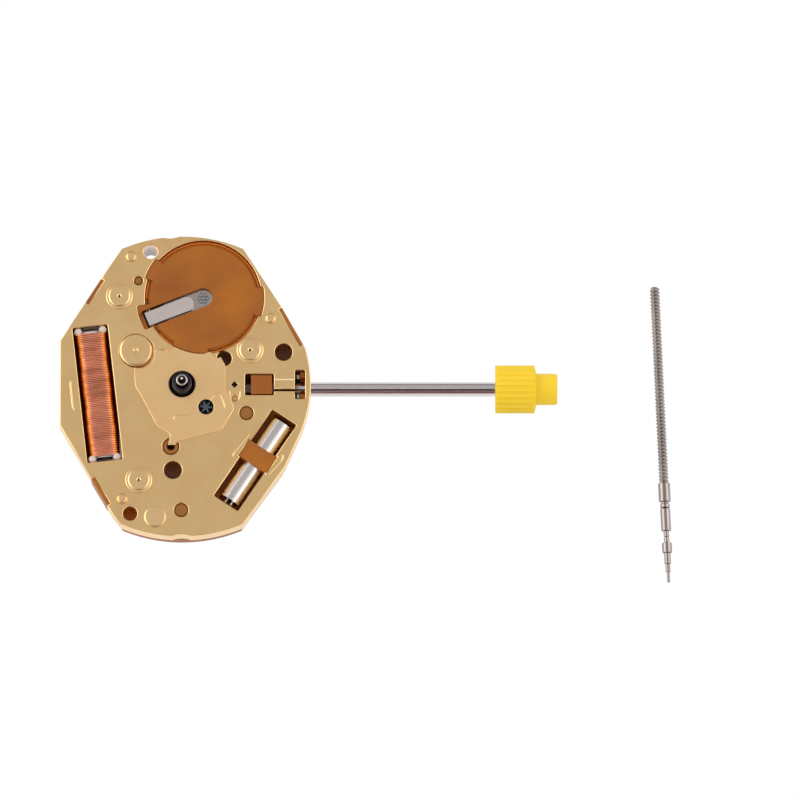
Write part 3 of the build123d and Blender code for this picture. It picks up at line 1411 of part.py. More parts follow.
# Setting wheel between the clutch and the minute wheel
setting_turn = meshed_turn(setting_bearing, minute_teeth, minute_turn, setting_teeth)
with BuildPart() as setting_wheel:
    with BuildSketch(Plane.XY.offset(setting_wheel_bottom)):
        toothed(setting_teeth, motion_module, setting_turn, setting_centre)
        with Locations(setting_centre):
            Circle(setting_post + running, mode=Mode.SUBTRACT)
    extrude(amount=minute_wheel_top - setting_wheel_bottom)
setting_wheel.part.label = "setting_wheel"
export_step(setting_wheel.part, "parts/setting_wheel.step")

# Loose winding stem, lying on the table beside the movement, plain where its thread is cut
loose_radius = max(radius for length, radius in loose_steps)
loose_z = movement_back + loose_radius
loose_heading = bearing(loose_start, loose_end)
with BuildPart() as winding_stem:
    loose_plane = Plane(
        origin=(*loose_start, loose_z),
        x_dir=(cos(radians(loose_heading)), sin(radians(loose_heading)), 0),
        z_dir=(sin(radians(loose_heading)), -cos(radians(loose_heading)), 0),
    )
    with BuildSketch(loose_plane):
        profile = [(0, 0)]
        station = 0
        for length, radius in loose_steps:
            profile += [(station, radius), (station + length, radius)]
            station += length
        Polygon(*profile, (station, 0), align=None)
    revolve(axis=Axis(loose_plane.origin, loose_plane.x_dir))
winding_stem.part.label = "winding_stem"
export_step(winding_stem.part, "parts/winding_stem.step")
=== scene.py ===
# The quartz watch movement on a plain white floor, with its long transport stem and a loose winding stem
# beside it. Every size is in millimetres and becomes metres through MM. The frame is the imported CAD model.
import math
import random

import bmesh
import bpy
from mathutils import Matrix, Vector


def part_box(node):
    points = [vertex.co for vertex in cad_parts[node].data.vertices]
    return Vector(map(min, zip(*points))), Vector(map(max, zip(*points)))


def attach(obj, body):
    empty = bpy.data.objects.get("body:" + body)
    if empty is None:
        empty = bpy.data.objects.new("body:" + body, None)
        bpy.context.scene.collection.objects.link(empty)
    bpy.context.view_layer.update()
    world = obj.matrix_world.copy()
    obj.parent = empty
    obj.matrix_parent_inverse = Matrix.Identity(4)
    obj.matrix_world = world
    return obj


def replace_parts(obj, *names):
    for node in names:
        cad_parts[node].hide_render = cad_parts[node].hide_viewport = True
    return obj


MM = 0.001
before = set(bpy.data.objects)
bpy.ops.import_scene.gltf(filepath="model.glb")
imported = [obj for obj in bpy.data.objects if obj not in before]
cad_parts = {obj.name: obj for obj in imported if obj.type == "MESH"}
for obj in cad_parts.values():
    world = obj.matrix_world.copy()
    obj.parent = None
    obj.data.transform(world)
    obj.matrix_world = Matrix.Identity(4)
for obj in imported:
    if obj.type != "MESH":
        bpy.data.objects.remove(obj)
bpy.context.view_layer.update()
scene = bpy.context.scene
scene.view_settings.view_transform = "Standard"

# Camera: 1 m above, tilted 13 degrees towards six o'clock, with a frame 50 mm wide
TILT = math.radians(13)
AIM = Vector((13.625, -1.026, 0)) * MM
lens = bpy.data.cameras.new("camera")
lens.lens = 720
lens.sensor_width = 36
lens.clip_start = 0.01
lens.clip_end = 20
camera = bpy.data.objects.new("camera", lens)
scene.collection.objects.link(camera)
camera.location = AIM + Vector((0, -math.sin(TILT), math.cos(TILT)))
camera.rotation_euler = (TILT, 0, 0)
scene.camera = camera

# The layers and places that the pieces below share with the CAD model
COVER_TOP = 0.0
PLATE_TOP = -0.10
PLATE_BOTTOM = -1.30
FLOOR = -3.21
HUB_TOP = 0.70
PIPE_TOP = 1.20
POST_TOP = 1.62
MOUTH = 0.235  # radius of the minute pipe's mouth round the seconds post
MOUTH_DEPTH = 0.30
COIL_CENTRE = (-5.29, -0.58)
COIL_TURN = 6.5
COIL_Z = -1.15
DRUM = 0.87  # radius of the bobbin's drum
WINDING = 8.10  # its length between the cheeks
CRYSTAL_TURN = 56.5
ROTOR = (-2.906, 2.18)
PILLARS = ((-3.94, 5.67), (4.25, 2.21), (-2.69, -6.12))
PILLAR_FEET = (-2.80, -2.80, -2.60)
PINS = ((-3.22, 8.20), (5.53, 4.23), (-3.72, -7.34))
STUD = (-1.66, -8.49)
DIAL_FOOT = (-2.00, 8.50)
CELL_CENTRE = (1.295, 5.609)
CONTACT_TURN = 21.6
KEY = (3.28, 0.0)
SETTING_POST = (3.305, -0.887)
LOOSE_TURN = 92.4
OPEN_HOLES = ((6.34, 2.08, 0.55), (-0.56, -5.48, 0.56), (2.63, 1.67, 0.47))  # place and radius
PEGS = (  # place, radius of the hole in the peg, radius of the peg
    (4.03, -1.83, 0.0, 0.42), (-0.03, -8.04, 0.0, 0.42), (-0.69, -3.97, 0.25, 0.51), (-2.75, 6.67, 0.0, 0.26),
)

TONE_SPAN = (0.32, 0.68)  # the noise values that get the first and the last tone
GLOSS_SPAN = (0.3, 0.7)  # the noise values that get the least and the most roughness
NOISE_SHIFT = (0.011, 0.007, 0.0043)  # keeps level faces out of the planes of the noise's lattice


def tone(code):
    """The linear colour of a hex code."""
    parts = [int(code[i:i + 2], 16) / 255 for i in (0, 2, 4)]
    return [c / 12.92 if c < 0.04045 else ((c + 0.055) / 1.055) ** 2.4 for c in parts] + [1.0]


def link(tree, out, into):
    tree.links.new(out, into)


def node(tree, kind, **values):
    """Add a shader node and set its properties or inputs by name."""
    made = tree.nodes.new(kind)
    for name, value in values.items():
        if hasattr(made, name):
            setattr(made, name, value)
        else:
            made.inputs[name.replace("_", " ")].default_value = value
    return made


def finish(name, colours, rough, metal=0.0, patch=900, grain=14000, bump=0.0015, turn=0.0, stretch=1.0,
           edge=0.018, rough_play=0.05, **shader):
    """A material whose colour drifts between tones in patches, with its own grain in gloss and relief.

    patch and grain are in waves per metre, bump and edge in millimetres; turn, in degrees, and stretch draw
    the grain out along one level direction.
    """
    made = bpy.data.materials.new(name)
    made.use_nodes = True
    tree = made.node_tree
    bsdf = tree.nodes["Principled BSDF"]
    bsdf.inputs["Metallic"].default_value = metal
    for key, value in shader.items():
        bsdf.inputs[key.replace("_", " ")].default_value = value
    place = node(tree, "ShaderNodeTexCoord")
    aim = node(tree, "ShaderNodeMapping", vector_type="TEXTURE")
    aim.inputs["Rotation"].default_value = (0, 0, math.radians(turn))
    aim.inputs["Scale"].default_value = (stretch, 1, 1)
    aim.inputs["Location"].default_value = NOISE_SHIFT
    link(tree, place.outputs["Object"], aim.inputs["Vector"])
    drift = node(tree, "ShaderNodeTexNoise", Scale=patch, Detail=3.0, Roughness=0.55)
    link(tree, aim.outputs["Vector"], drift.inputs["Vector"])
    ramp = node(tree, "ShaderNodeValToRGB")
    start, end = TONE_SPAN
    ramp.color_ramp.elements[0].position = start
    ramp.color_ramp.elements[1].position = end
    ramp.color_ramp.elements[0].color = tone(colours[0])
    ramp.color_ramp.elements[1].color = tone(colours[-1])
    for index, code in enumerate(colours[1:-1]):
        middle = ramp.color_ramp.elements.new(start + (end - start) * (index + 1) / (len(colours) - 1))
        middle.color = tone(code)
    link(tree, drift.outputs["Fac"], ramp.inputs["Fac"])
    link(tree, ramp.outputs["Color"], bsdf.inputs["Base Color"])
    fine = node(tree, "ShaderNodeTexNoise", Scale=grain, Detail=4.0, Roughness=0.6)
    link(tree, aim.outputs["Vector"], fine.inputs["Vector"])
    gloss = node(tree, "ShaderNodeMapRange")
    gloss.inputs["From Min"].default_value = GLOSS_SPAN[0]
    gloss.inputs["From Max"].default_value = GLOSS_SPAN[1]
    gloss.inputs["To Min"].default_value = rough - rough_play
    gloss.inputs["To Max"].default_value = rough + rough_play
    link(tree, fine.outputs["Fac"], gloss.inputs["Value"])
    link(tree, gloss.outputs["Result"], bsdf.inputs["Roughness"])
    relief = node(tree, "ShaderNodeBump", Strength=1.0, Distance=bump * MM)
    link(tree, fine.outputs["Fac"], relief.inputs["Height"])
    if edge:
        eased = node(tree, "ShaderNodeBevel", Radius=edge * MM, samples=4)
        link(tree, eased.outputs["Normal"], relief.inputs["Normal"])
    link(tree, relief.outputs["Normal"], bsdf.inputs["Normal"])
    return made


def tinted(made, direction, centre, reach, stops):
    """Multiply a material's colour by tones that change with the distance from a level line."""
    tree = made.node_tree
    base = tree.nodes["Principled BSDF"].inputs["Base Color"]
    plain = base.links[0].from_socket
    place = node(tree, "ShaderNodeTexCoord")
    across = node(tree, "ShaderNodeVectorMath", operation="DOT_PRODUCT")
    across.inputs[1].default_value = direction
    link(tree, place.outputs["Object"], across.inputs[0])
    aside = node(tree, "ShaderNodeMath", operation="SUBTRACT")
    aside.inputs[1].default_value = centre * MM
    link(tree, across.outputs["Value"], aside.inputs[0])
    away = node(tree, "ShaderNodeMath", operation="ABSOLUTE")
    link(tree, aside.outputs["Value"], away.inputs[0])
    share = node(tree, "ShaderNodeMath", operation="DIVIDE")
    share.inputs[1].default_value = reach * MM
    link(tree, away.outputs["Value"], share.inputs[0])
    ramp = node(tree, "ShaderNodeValToRGB")
    first, last = ramp.color_ramp.elements
    first.position, first.color = stops[0][0], tone(stops[0][1])
    last.position, last.color = stops[-1][0], tone(stops[-1][1])
    for position, code in stops[1:-1]:
        ramp.color_ramp.elements.new(position).color = tone(code)
    link(tree, share.outputs["Value"], ramp.inputs["Fac"])
    mix = node(tree, "ShaderNodeMixRGB", blend_type="MULTIPLY", Fac=1.0)
    link(tree, plain, mix.inputs["Color1"])
    link(tree, ramp.outputs["Color"], mix.inputs["Color2"])
    link(tree, mix.outputs["Color"], base)


# Materials. The gilding is too smooth to show a grain
GILT = dict(patch=500, bump=0.00006, edge=0, rough_play=0.02)
gold = finish("gold_plate", ("F3CB8E", "F6D093", "F9D497"), 0.30, metal=1, **GILT)
gold_bright = finish("gold_bright", ("F9CE90", "FBD296", "FDD59A"), 0.30, metal=0.85, **GILT)
gold_turned = finish("gold_turned", ("F6CF94", "F8D398", "FAD69C"), 0.30, metal=1, **GILT)
amber = finish("amber_plastic", ("94501A", "9E5A1C", "AC6418"), 0.42, patch=260, grain=9000, bump=0.0012,
               Specular_IOR_Level=0.22)
# Brighter orange for the painted highlight on the cup's lip
amber_rim_highlight = finish("amber_rim_highlight", ("C8691C", "D87624"), 0.35, patch=700, bump=0.0004, edge=0)
# Pale cream for the painted highlight along the edge of the stem's channel
edge_highlight = finish("edge_highlight", ("F0D6A6", "F8E2B8"), 0.35, patch=900, bump=0.0003, edge=0)
spring = finish("spring_metal", ("DED4CE", "EAE2DC"), 0.30, metal=1, turn=CONTACT_TURN, stretch=12,
                bump=0.0003, edge=0)
contact_tip = finish("contact_tip", ("B4AAA4", "CCC2BC"), 0.28, metal=1, turn=CONTACT_TURN, stretch=6,
                     bump=0.0004, edge=0)
cell_steel = finish("cell_steel", ("B9B8B6", "C9C8C4"), 0.24, metal=1, stretch=6)
steel = finish("steel", ("A8A7A6", "BDBBB8"), 0.26, metal=1)
# Painted shade: the stem is darkened inside the movement and keeps its own colour outside it, by distance
# from the movement's axis
SHADED_TO = 7.04
UNSHADED_FROM = 7.40
STEM_REACH = 20
stem_steel = finish("stem_steel", ("D2CBCA", "DED7D6"), 0.13, metal=1, grain=26000, stretch=40, bump=0.0003,
                    rough_play=0.03, edge=0)
tinted(stem_steel, (1, 0, 0), 0, STEM_REACH, (
    (SHADED_TO / STEM_REACH, "6E6562"), (UNSHADED_FROM / STEM_REACH, "FFFFFF"),
))
loose_steel = finish("loose_steel", ("8E8580", "A79E99"), 0.24, metal=1, turn=LOOSE_TURN, stretch=4, edge=0)
dark_steel = finish("dark_steel", ("5D6672", "7C8794"), 0.30, metal=1)
black_metal = finish("black_metal", ("34323A", "45434B"), 0.22, metal=1, edge=0)
pipe_metal = finish("pipe_metal", ("C4BFBC", "DCD8D5"), 0.16, metal=1, edge=0)
post_metal = finish("post_metal", ("5E5650", "766C66"), 0.2, metal=1)
# Enamelled wire, salmon on top, with a painted highlight in orange at the shoulders of the layer and painted
# shade in dark red down its sides
copper = finish("copper_wire", ("D8CCC8", "F2ECEA", "FFFFFF"), 0.36, metal=1, patch=2600, turn=COIL_TURN,
                stretch=5, grain=9000, bump=0.0006, edge=0)
COIL_ACROSS = (math.cos(math.radians(COIL_TURN)), math.sin(math.radians(COIL_TURN)), 0)
COIL_REACH = 1.05
tinted(copper, COIL_ACROSS, COIL_CENTRE[0] * COIL_ACROSS[0] + COIL_CENTRE[1] * COIL_ACROSS[1], COIL_REACH, (
    (0.0, "FFB492"), (0.56, "FFB08C"), (0.66, "FFB866"), (0.78, "FFA04A"), (0.86, "D06030"), (1.0, "A04028"),
))
drum_copper = finish("coil_drum", ("8A3A26", "A24A30"), 0.4, metal=1)
cheek = finish("cheek_plastic", ("C8B8B2", "DECFCA"), 0.3, patch=2000, Subsurface_Weight=0.2,
               Subsurface_Scale=0.0003)
can_metal = finish("can_metal", ("D6CECA", "E4DDD9"), 0.18, metal=1, turn=CRYSTAL_TURN, stretch=30,
                   grain=22000, bump=0.0003, rough_play=0.04, edge=0)
board_green = finish("board", ("2F5A34", "3A6A3C"), 0.38, patch=1600, Coat_Weight=0.3, Coat_Roughness=0.2)
black_block = finish("black_block", ("1C1C1E", "29292B"), 0.5, grain=18000, bump=0.002)
magnet = finish("magnet", ("4A4746", "5A5755"), 0.35, metal=1)
white_plastic = finish("white_plastic", ("D9D5CC", "E6E2DA"), 0.38)
wheel_brass = finish("wheel_brass", ("C79A52", "D6AA62"), 0.26, metal=1)
knob_plastic = finish("knob_plastic", ("F7CE28", "F9D22E", "FBD738"), 0.45, patch=500, grain=12000,
                      bump=0.0006, stretch=8, edge=0.10, Specular_IOR_Level=0.3, Subsurface_Weight=0.35,
                      Subsurface_Scale=0.0005, Subsurface_Radius=(1.0, 0.8, 0.25))
# Near-white for the painted highlight on the seconds post's tip
tip_highlight = finish("tip_highlight", ("F4F0EC", "FFFCF8"), 0.35, patch=3000, edge=0)
# Near-black for painted shade in punch marks, recesses and the pipe's mouth
shade_black = finish("shade_black", ("0A0706", "140E0C"), 0.7, patch=3000, edge=0, Specular_IOR_Level=0.1)
post_plastic = finish("post_plastic", ("B4865E", "C6966C"), 0.4, patch=2500, edge=0, Specular_IOR_Level=0.2)
# Darker browns for the painted shade on the carrier's pegs and in the gaps round them
peg_shaded_plastic = finish("peg_shaded_plastic", ("8C5A26", "98642C"), 0.42, patch=1200, bump=0.0006, edge=0,
                     Specular_IOR_Level=0.22)
peg_shade = finish("peg_shade", ("64351A", "70401F"), 0.5, patch=1500, edge=0, Specular_IOR_Level=0.0)
# Dull brown for the painted shade under the plate's open holes
well_shade_plastic = finish("well_shade_plastic", ("5C4036", "6A4A3E"), 0.45, patch=1200, bump=0.0006, edge=0,
                      Specular_IOR_Level=0.15)
bush = finish("foot_bush", ("FAE9E1", "FFF4EE"), 0.25, patch=1500, edge=0)

ASSIGN = {
    "main_plate": gold, "cover_plate": gold_bright, "module_carrier": amber, "negative_contact": contact_tip,
    "button_cell": cell_steel, "cell_clamp": steel, "coil_core": steel, "coil_bobbin": drum_copper,
    "coil_winding": copper, "stator": steel, "crystal_can": can_metal, "crystal_leads": steel,
    "circuit_board": board_green, "circuit_block": black_block, "train_bridge": gold, "back_screws": steel,
    "stem_clip": steel, "setting_lever": steel, "yoke": steel, "yoke_spring": spring,
    "transport_stem": stem_steel, "stem_knob": knob_plastic, "clutch_pinion": dark_steel,
    "rotor_magnet": magnet, "rotor_pinion": steel, "intermediate_wheel": white_plastic,
    "intermediate_pinion": white_plastic, "seconds_wheel": white_plastic, "seconds_arbor": post_metal,
    "third_wheel": white_plastic, "third_pinion": white_plastic, "centre_wheel": wheel_brass,
    "cannon_pinion": pipe_metal, "minute_wheel": black_metal, "minute_pinion": dark_steel,
    "hour_wheel": black_metal, "setting_wheel": wheel_brass, "pillars": gold_turned,
    "locating_pins": gold_turned, "rotor_bearing_cap": gold_turned, "winding_stem": loose_steel,
}
for name, made in ASSIGN.items():
    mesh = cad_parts[name].data
    mesh.materials.clear()
    mesh.materials.append(made)


def build(name, work, made, body="movement", angle=30):
    """Turn a bmesh in millimetres into a piece in metres that rides on a body."""
    work.transform(Matrix.Scale(MM, 4))
    bmesh.ops.recalc_face_normals(work, faces=work.faces)
    mesh = bpy.data.meshes.new(name)
    work.to_mesh(mesh)
    work.free()
    mesh.shade_smooth()
    mesh.set_sharp_from_angle(angle=math.radians(angle))
    mesh.materials.append(made)
    piece = bpy.data.objects.new(name, mesh)
    scene.collection.objects.link(piece)
    weigh = piece.modifiers.new("even_normals", "WEIGHTED_NORMAL")
    weigh.keep_sharp = True
    weigh.weight = 90
    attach(piece, body)
    return piece


def round_angles(count):
    """Equal steps of angle, once round."""
    return [2 * math.pi * step / count for step in range(count)]


def arc(centre, radius, height, angles):
    """Level points on a circle."""
    return [
        Vector((centre[0] + radius * math.cos(a), centre[1] + radius * math.sin(a), height)) for a in angles
    ]


def about(centre, turn, along, side):
    """A point along and beside a turned axis through a centre."""
    a = math.radians(turn)
    return (
        centre[0] + along * math.cos(a) - side * math.sin(a),
        centre[1] + along * math.sin(a) + side * math.cos(a),
    )


def skin(work, first, second):
    """Faces between two rings of as many vertices each."""
    for step in range(len(first)):
        nxt = (step + 1) % len(first)
        work.faces.new((first[step], first[nxt], second[nxt], second[step]))


def lathe(work, profile, place, steps=64):
    """Turn a profile of radius and height about an upright axis at a place."""
    rings = []
    for radius, height in profile:
        if radius == 0:
            rings.append([work.verts.new((place[0], place[1], height))])
        else:
            circle = arc(place, radius, height, round_angles(steps))
            rings.append([work.verts.new(point) for point in circle])
    for low, high in zip(rings, rings[1:]):
        for step in range(steps):
            corners = []
            for ring, index in ((low, step), (low, step + 1), (high, step + 1), (high, step)):
                vertex = ring[index % len(ring)]
                if vertex not in corners:
                    corners.append(vertex)
            work.faces.new(corners)


def domed(radius, rise, shoulder, foot):
    """The profile of a round post with a domed end."""
    quarter = [math.pi / 12 * step for step in range(7)]
    dome = [(radius * math.sin(a), shoulder + rise * math.cos(a)) for a in quarter]
    return dome + [(radius, foot), (0, foot)]


def tube(work, points, radius, sides=6):
    """Sweep a round section along points; the section keeps its roll."""
    rings = []
    side = None
    for index, point in enumerate(points):
        ahead = points[min(index + 1, len(points) - 1)] - points[max(index - 1, 0)]
        ahead.normalize()
        if side is None:
            side = ahead.orthogonal().normalized()
        side = (side - ahead * side.dot(ahead)).normalized()
        other = ahead.cross(side)
        rings.append([
            work.verts.new(point + radius * (side * math.cos(a) + other * math.sin(a)))
            for a in round_angles(sides)
        ])
    for first, second in zip(rings, rings[1:]):
        skin(work, first, second)
    work.faces.new(rings[0])
    work.faces.new(rings[-1])


# Bevelled copies of CAD nodes
SAME_HEIGHT = 0.003  # heights that differ by less count as one
MERGE = 1e-4  # points that are nearer than this are the same
COPLANAR = math.radians(0.6)
SHARP = math.radians(28)
EASE_STEPS = 3
MOUTH_SIDES = 64
TIP_SINK = 0.02


def level_at(height):
    """A test that both ends of an edge lie at a height."""
    return lambda a, b: abs(a.z - height) < SAME_HEIGHT and abs(b.z - height) < SAME_HEIGHT


def open_mouth(work):
    """Widen the top of the minute pipe's bore round the seconds post."""
    flat = [f for f in work.faces if all(abs(v.co.z - PIPE_TOP) < SAME_HEIGHT for v in f.verts)]
    bmesh.ops.delete(work, geom=flat, context="FACES")
    open_edges = [edge for edge in work.edges if len(edge.link_faces) == 1]
    bore = [edge for edge in open_edges if max(v.co.xy.length for v in edge.verts) < MOUTH]
    outer = [edge for edge in open_edges if min(v.co.xy.length for v in edge.verts) > MOUTH]
    for vertex in {v for edge in bore for v in edge.verts}:
        vertex.co.z = PIPE_TOP - MOUTH_DEPTH
    rings = [
        [work.verts.new(point) for point in arc((0, 0), MOUTH, height, round_angles(MOUTH_SIDES))]
        for height in (PIPE_TOP, PIPE_TOP - MOUTH_DEPTH)
    ]
    loops = [
        [work.edges.new((ring[step], ring[(step + 1) % MOUTH_SIDES])) for step in range(MOUTH_SIDES)]
        for ring in rings
    ]
    skin(work, *rings)
    bmesh.ops.bridge_loops(work, edges=outer + loops[0])
    bmesh.ops.bridge_loops(work, edges=bore + loops[1])


def sunk_end(work):
    """Lower the flat end of the seconds post, so that its domed tip ends where the post does."""
    for vertex in work.verts:
        if vertex.co.z > POST_TOP - SAME_HEIGHT:
            vertex.co.z -= TIP_SINK


def eased(name, width, made, picks, slot, body="movement", shape=None):
    """Replace a node by a copy whose picked sharp edges are bevelled."""
    work = bmesh.new()
    work.from_mesh(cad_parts[name].data)
    work.transform(Matrix.Scale(1 / MM, 4))
    bmesh.ops.remove_doubles(work, verts=work.verts, dist=MERGE)
    bmesh.ops.dissolve_limit(
        work, angle_limit=COPLANAR, verts=work.verts, edges=work.edges, delimit={"NORMAL"}
    )
    sharp = [
        edge for edge in work.edges
        if len(edge.link_faces) == 2 and edge.calc_face_angle(0) > SHARP
        and picks(edge.verts[0].co, edge.verts[1].co)
    ]
    bmesh.ops.bevel(
        work, geom=sharp, offset=width, offset_type="OFFSET", segments=EASE_STEPS, profile=0.5,
        affect="EDGES", clamp_overlap=False, miter_outer="ARC", miter_inner="SHARP",
    )
    if shape:
        shape(work)
    piece = build(name + "_eased", work, made, body=body)
    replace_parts(piece, name)


eased("main_plate", 0.06, gold, level_at(PLATE_TOP), "gold_plate")
eased("cover_plate", 0.04, gold_bright, level_at(COVER_TOP), "cover_sheet")
eased("hour_wheel", 0.04, black_metal, level_at(HUB_TOP), "black_metal", body="hours")
eased("cannon_pinion", 0.035, pipe_metal, level_at(PIPE_TOP), "steel", body="minutes", shape=open_mouth)
eased("seconds_arbor", 0.045, post_metal, level_at(POST_TOP), "steel", body="seconds", shape=sunk_end)

# Domed tip of the seconds post, near-white as a painted highlight
TIP_RADIUS = 0.055
TIP_RISE = 0.022
TIP_LENGTH = 0.05
work = bmesh.new()
lathe(work, domed(TIP_RADIUS, TIP_RISE, POST_TOP - TIP_RISE, POST_TOP - TIP_LENGTH), (0, 0), steps=32)
build("post_tip_highlight", work, tip_highlight, body="seconds")

# Painted shade: a black lining in the minute pipe's mouth
LINING = 0.004
LINING_TOP = PIPE_TOP - 0.03
BORE = 0.162
work = bmesh.new()
lathe(work, (
    (MOUTH - LINING, LINING_TOP), (MOUTH - LINING, PIPE_TOP - MOUTH_DEPTH + LINING),
    (BORE, PIPE_TOP - MOUTH_DEPTH + LINING),
), (0, 0))
build("pipe_mouth_shade", work, shade_black, body="minutes")

# Turned pillars: a head with bevelled rim, ring groove and centre punch, and a bored foot
PILLAR_BORE = 0.8
work = bmesh.new()
for place, foot in zip(PILLARS, PILLAR_FEET):
    lathe(work, (
        (0, -0.30), (0.06, -0.28), (0.075, -0.05), (0.14, 0), (0.60, 0), (0.68, -0.03), (0.70, -0.03),
        (0.715, 0), (0.795, 0), (0.825, -0.015), (0.84, -0.045), (0.84, PLATE_TOP), (0.50, PLATE_TOP),
        (0.50, foot + 0.03), (0.47, foot), (0.26, foot), (0.26, foot + PILLAR_BORE), (0, foot + PILLAR_BORE),
    ), place, steps=96)
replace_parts(build("pillar_turnings", work, gold_turned, angle=12), "pillars")

# Painted shade: dark plugs in the punch marks
work = bmesh.new()
for place in PILLARS:
    lathe(work, ((0, -0.05), (0.074, -0.05), (0.06, -0.28), (0, -0.28)), place, steps=24)
build("punch_shade", work, shade_black)

# Bearing cap of the rotor with its oil sink
work = bmesh.new()
lathe(work, (
    (0, -0.04), (0.04, -0.045), (0.07, -0.06), (0.10, -0.055), (0.14, -0.015), (0.17, 0), (0.90, 0),
    (0.99, -0.028), (1.02, -0.06), (1.03, -0.12), (1.03, -0.58), (1.01, -0.60), (0.11, -0.60), (0.11, -0.35),
    (0, -0.35),
), ROTOR, steps=96)
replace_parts(build("rotor_cap_turning", work, gold_turned, angle=12), "rotor_bearing_cap")

# Rounded ends of the locating pins and the flat stud
work = bmesh.new()
for place in PINS:
    lathe(work, (
        (0, 0), (0.21, 0), (0.285, -0.024), (0.31, -0.055), (0.31, -1.97), (0.28, -2.0), (0, -2.0),
    ), place)
lathe(work, (
    (0, 0), (0.59, 0), (0.67, -0.024), (0.69, -0.055), (0.69, PLATE_TOP), (0.40, PLATE_TOP),
    (0.40, PLATE_BOTTOM), (0, PLATE_BOTTOM),
), STUD, steps=96)
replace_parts(build("pin_turnings", work, gold_turned, angle=8), "locating_pins")


def curved(points, steps=6):
    """Points of a smooth level curve (Catmull-Rom) through the given ones."""
    padded = [points[0], *points, points[-1]]
    made = []
    for a, b, c, d in zip(padded, padded[1:], padded[2:], padded[3:]):
        for step in range(steps):
            t = step / steps
            made.append([
                b[i] + 0.5 * t * (
                    c[i] - a[i]
                    + t * (2 * a[i] - 5 * b[i] + 4 * c[i] - d[i] + t * (3 * (b[i] - c[i]) + d[i] - a[i]))
                ) for i in (0, 1)
            ])
    made.append(points[-1])
    return made


def creases(name, lines, height, made):
    """Low rounded rims along level curves, each given as its width, rise and points."""
    work = bmesh.new()
    for width, rise, points in lines:
        reach = (width * width / 4 + rise * rise) / (2 * rise)
        route = [Vector((x, y, height + rise - reach)) for x, y in curved(points)]
        tube(work, route, reach, sides=max(12, int(40 * reach / width)))
    build(name, work, made)


# Cut lines of the cover's spring tongues, the staked tabs of the plate, and the edge of the stem's channel,
# pale as a painted highlight
creases("cover_cuts", (
    (0.09, 0.02, ((1.79, -0.99), (1.87, -0.87), (2.06, -0.67), (2.22, -0.61), (2.41, -0.71), (2.53, -0.95),
                  (2.62, -1.19), (2.68, -1.51))),
    (0.09, 0.022, ((-0.56, -2.27), (-0.44, -2.08), (-0.28, -2.01), (0.07, -2.05), (0.43, -2.01),
                   (0.78, -1.89))),
    (0.08, 0.02, ((-1.75, 2.26), (-1.40, 2.26), (-1.06, 2.26), (-0.91, 2.12))),
), COVER_TOP, gold_bright)
creases("plate_stakes", (
    (0.11, 0.025, ((-6.76, 0.29), (-6.92, 0.22), (-6.98, 0.04), (-6.92, -0.61), (-6.84, -1.32),
                   (-6.75, -1.58), (-6.65, -1.66), (-6.45, -1.66))),
    (0.09, 0.02, ((4.21, -3.21), (3.70, -3.84), (3.24, -4.42), (3.28, -4.63), (3.50, -4.69))),
    (0.11, 0.025, ((6.19, -4.43), (6.32, -4.59), (6.19, -4.92), (5.78, -5.38), (5.38, -5.81), (5.22, -5.65))),
    (0.10, 0.03, ((2.97, -0.43), (2.99, -0.68), (3.09, -0.97))),
    (0.10, 0.03, ((3.62, -0.46), (3.61, -0.71), (3.50, -0.97))),
), PLATE_TOP, gold)
creases("channel_edge_highlight", (
    (0.08, 0.012, ((5.81, 0.31), (6.40, 0.31), (7.00, 0.31))),
), PLATE_TOP, edge_highlight)

# Upper leaf of the negative contact, with a rounded nose where the contact steps down to the cell
LEAF_WIDTH = 0.90
LEAF_OUTER = 3.74  # from the cell's centre to the leaf's outer end
LEAF_INNER = 1.06  # and to the start of the nose
LEAF_NOSE = 0.40
NOSE_POWER = 0.7  # below 1 the nose is blunter than an ellipse
LEAF_BEVEL = 0.03
LEAF_BOTTOM = -0.31
LEAF_TOP = -0.265
work = bmesh.new()
outline = [(LEAF_OUTER, -LEAF_WIDTH / 2), (LEAF_OUTER, LEAF_WIDTH / 2)]
outline += [
    (LEAF_INNER - LEAF_NOSE * max(0.0, math.cos(a)) ** NOSE_POWER, LEAF_WIDTH / 2 * math.sin(a))
    for a in (math.radians(90 - 10 * step) for step in range(19))
]
levels = []
for height in (LEAF_BOTTOM, LEAF_TOP):
    levels.append([
        work.verts.new((*about(CELL_CENTRE, CONTACT_TURN, -along, side), height)) for along, side in outline
    ])
    work.faces.new(levels[-1])
skin(work, *levels)
rim = [edge for edge in work.edges if all(abs(v.co.z - LEAF_TOP) < MERGE for v in edge.verts)]
bmesh.ops.bevel(work, geom=rim, offset=LEAF_BEVEL, offset_type="OFFSET", segments=3, profile=0.5,
                affect="EDGES", clamp_overlap=True)
build("contact_leaf", work, spring)

# Embossed rosette on the tip of the negative contact: one ring in the middle and six round it
ROSETTE_REACH = 0.24
ROSETTE_RING = 0.105
ROSETTE_WIRE = 0.028
ROSETTE_DEPTH = 0.005
TIP_THICKNESS = 0.06
_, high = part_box("button_cell")
tip_top = high.z / MM + TIP_THICKNESS
work = bmesh.new()
for ring in range(7):
    away = 0.0 if ring == 0 else ROSETTE_REACH
    a = math.radians(60 * ring)
    centre = (CELL_CENTRE[0] + away * math.cos(a), CELL_CENTRE[1] + away * math.sin(a))
    closed = [2 * math.pi * step / 20 for step in range(21)]
    tube(work, arc(centre, ROSETTE_RING, tip_top - ROSETTE_DEPTH, closed), ROSETTE_WIRE, sides=8)
build("contact_rosette", work, dark_steel)

# Thin lip of the cell cup in its groove, open where the contact passes, in a brighter orange as a painted
# highlight
LIP_RADIUS = 3.535
LIP_HEIGHT = -0.40
LIP_WIRE = 0.075
work = bmesh.new()
lip_angles = [math.radians(-140 + 3 * step) for step in range(108)]
tube(work, arc(CELL_CENTRE, LIP_RADIUS, LIP_HEIGHT, lip_angles), LIP_WIRE, sides=12)
build("cup_lip_highlight", work, amber_rim_highlight)
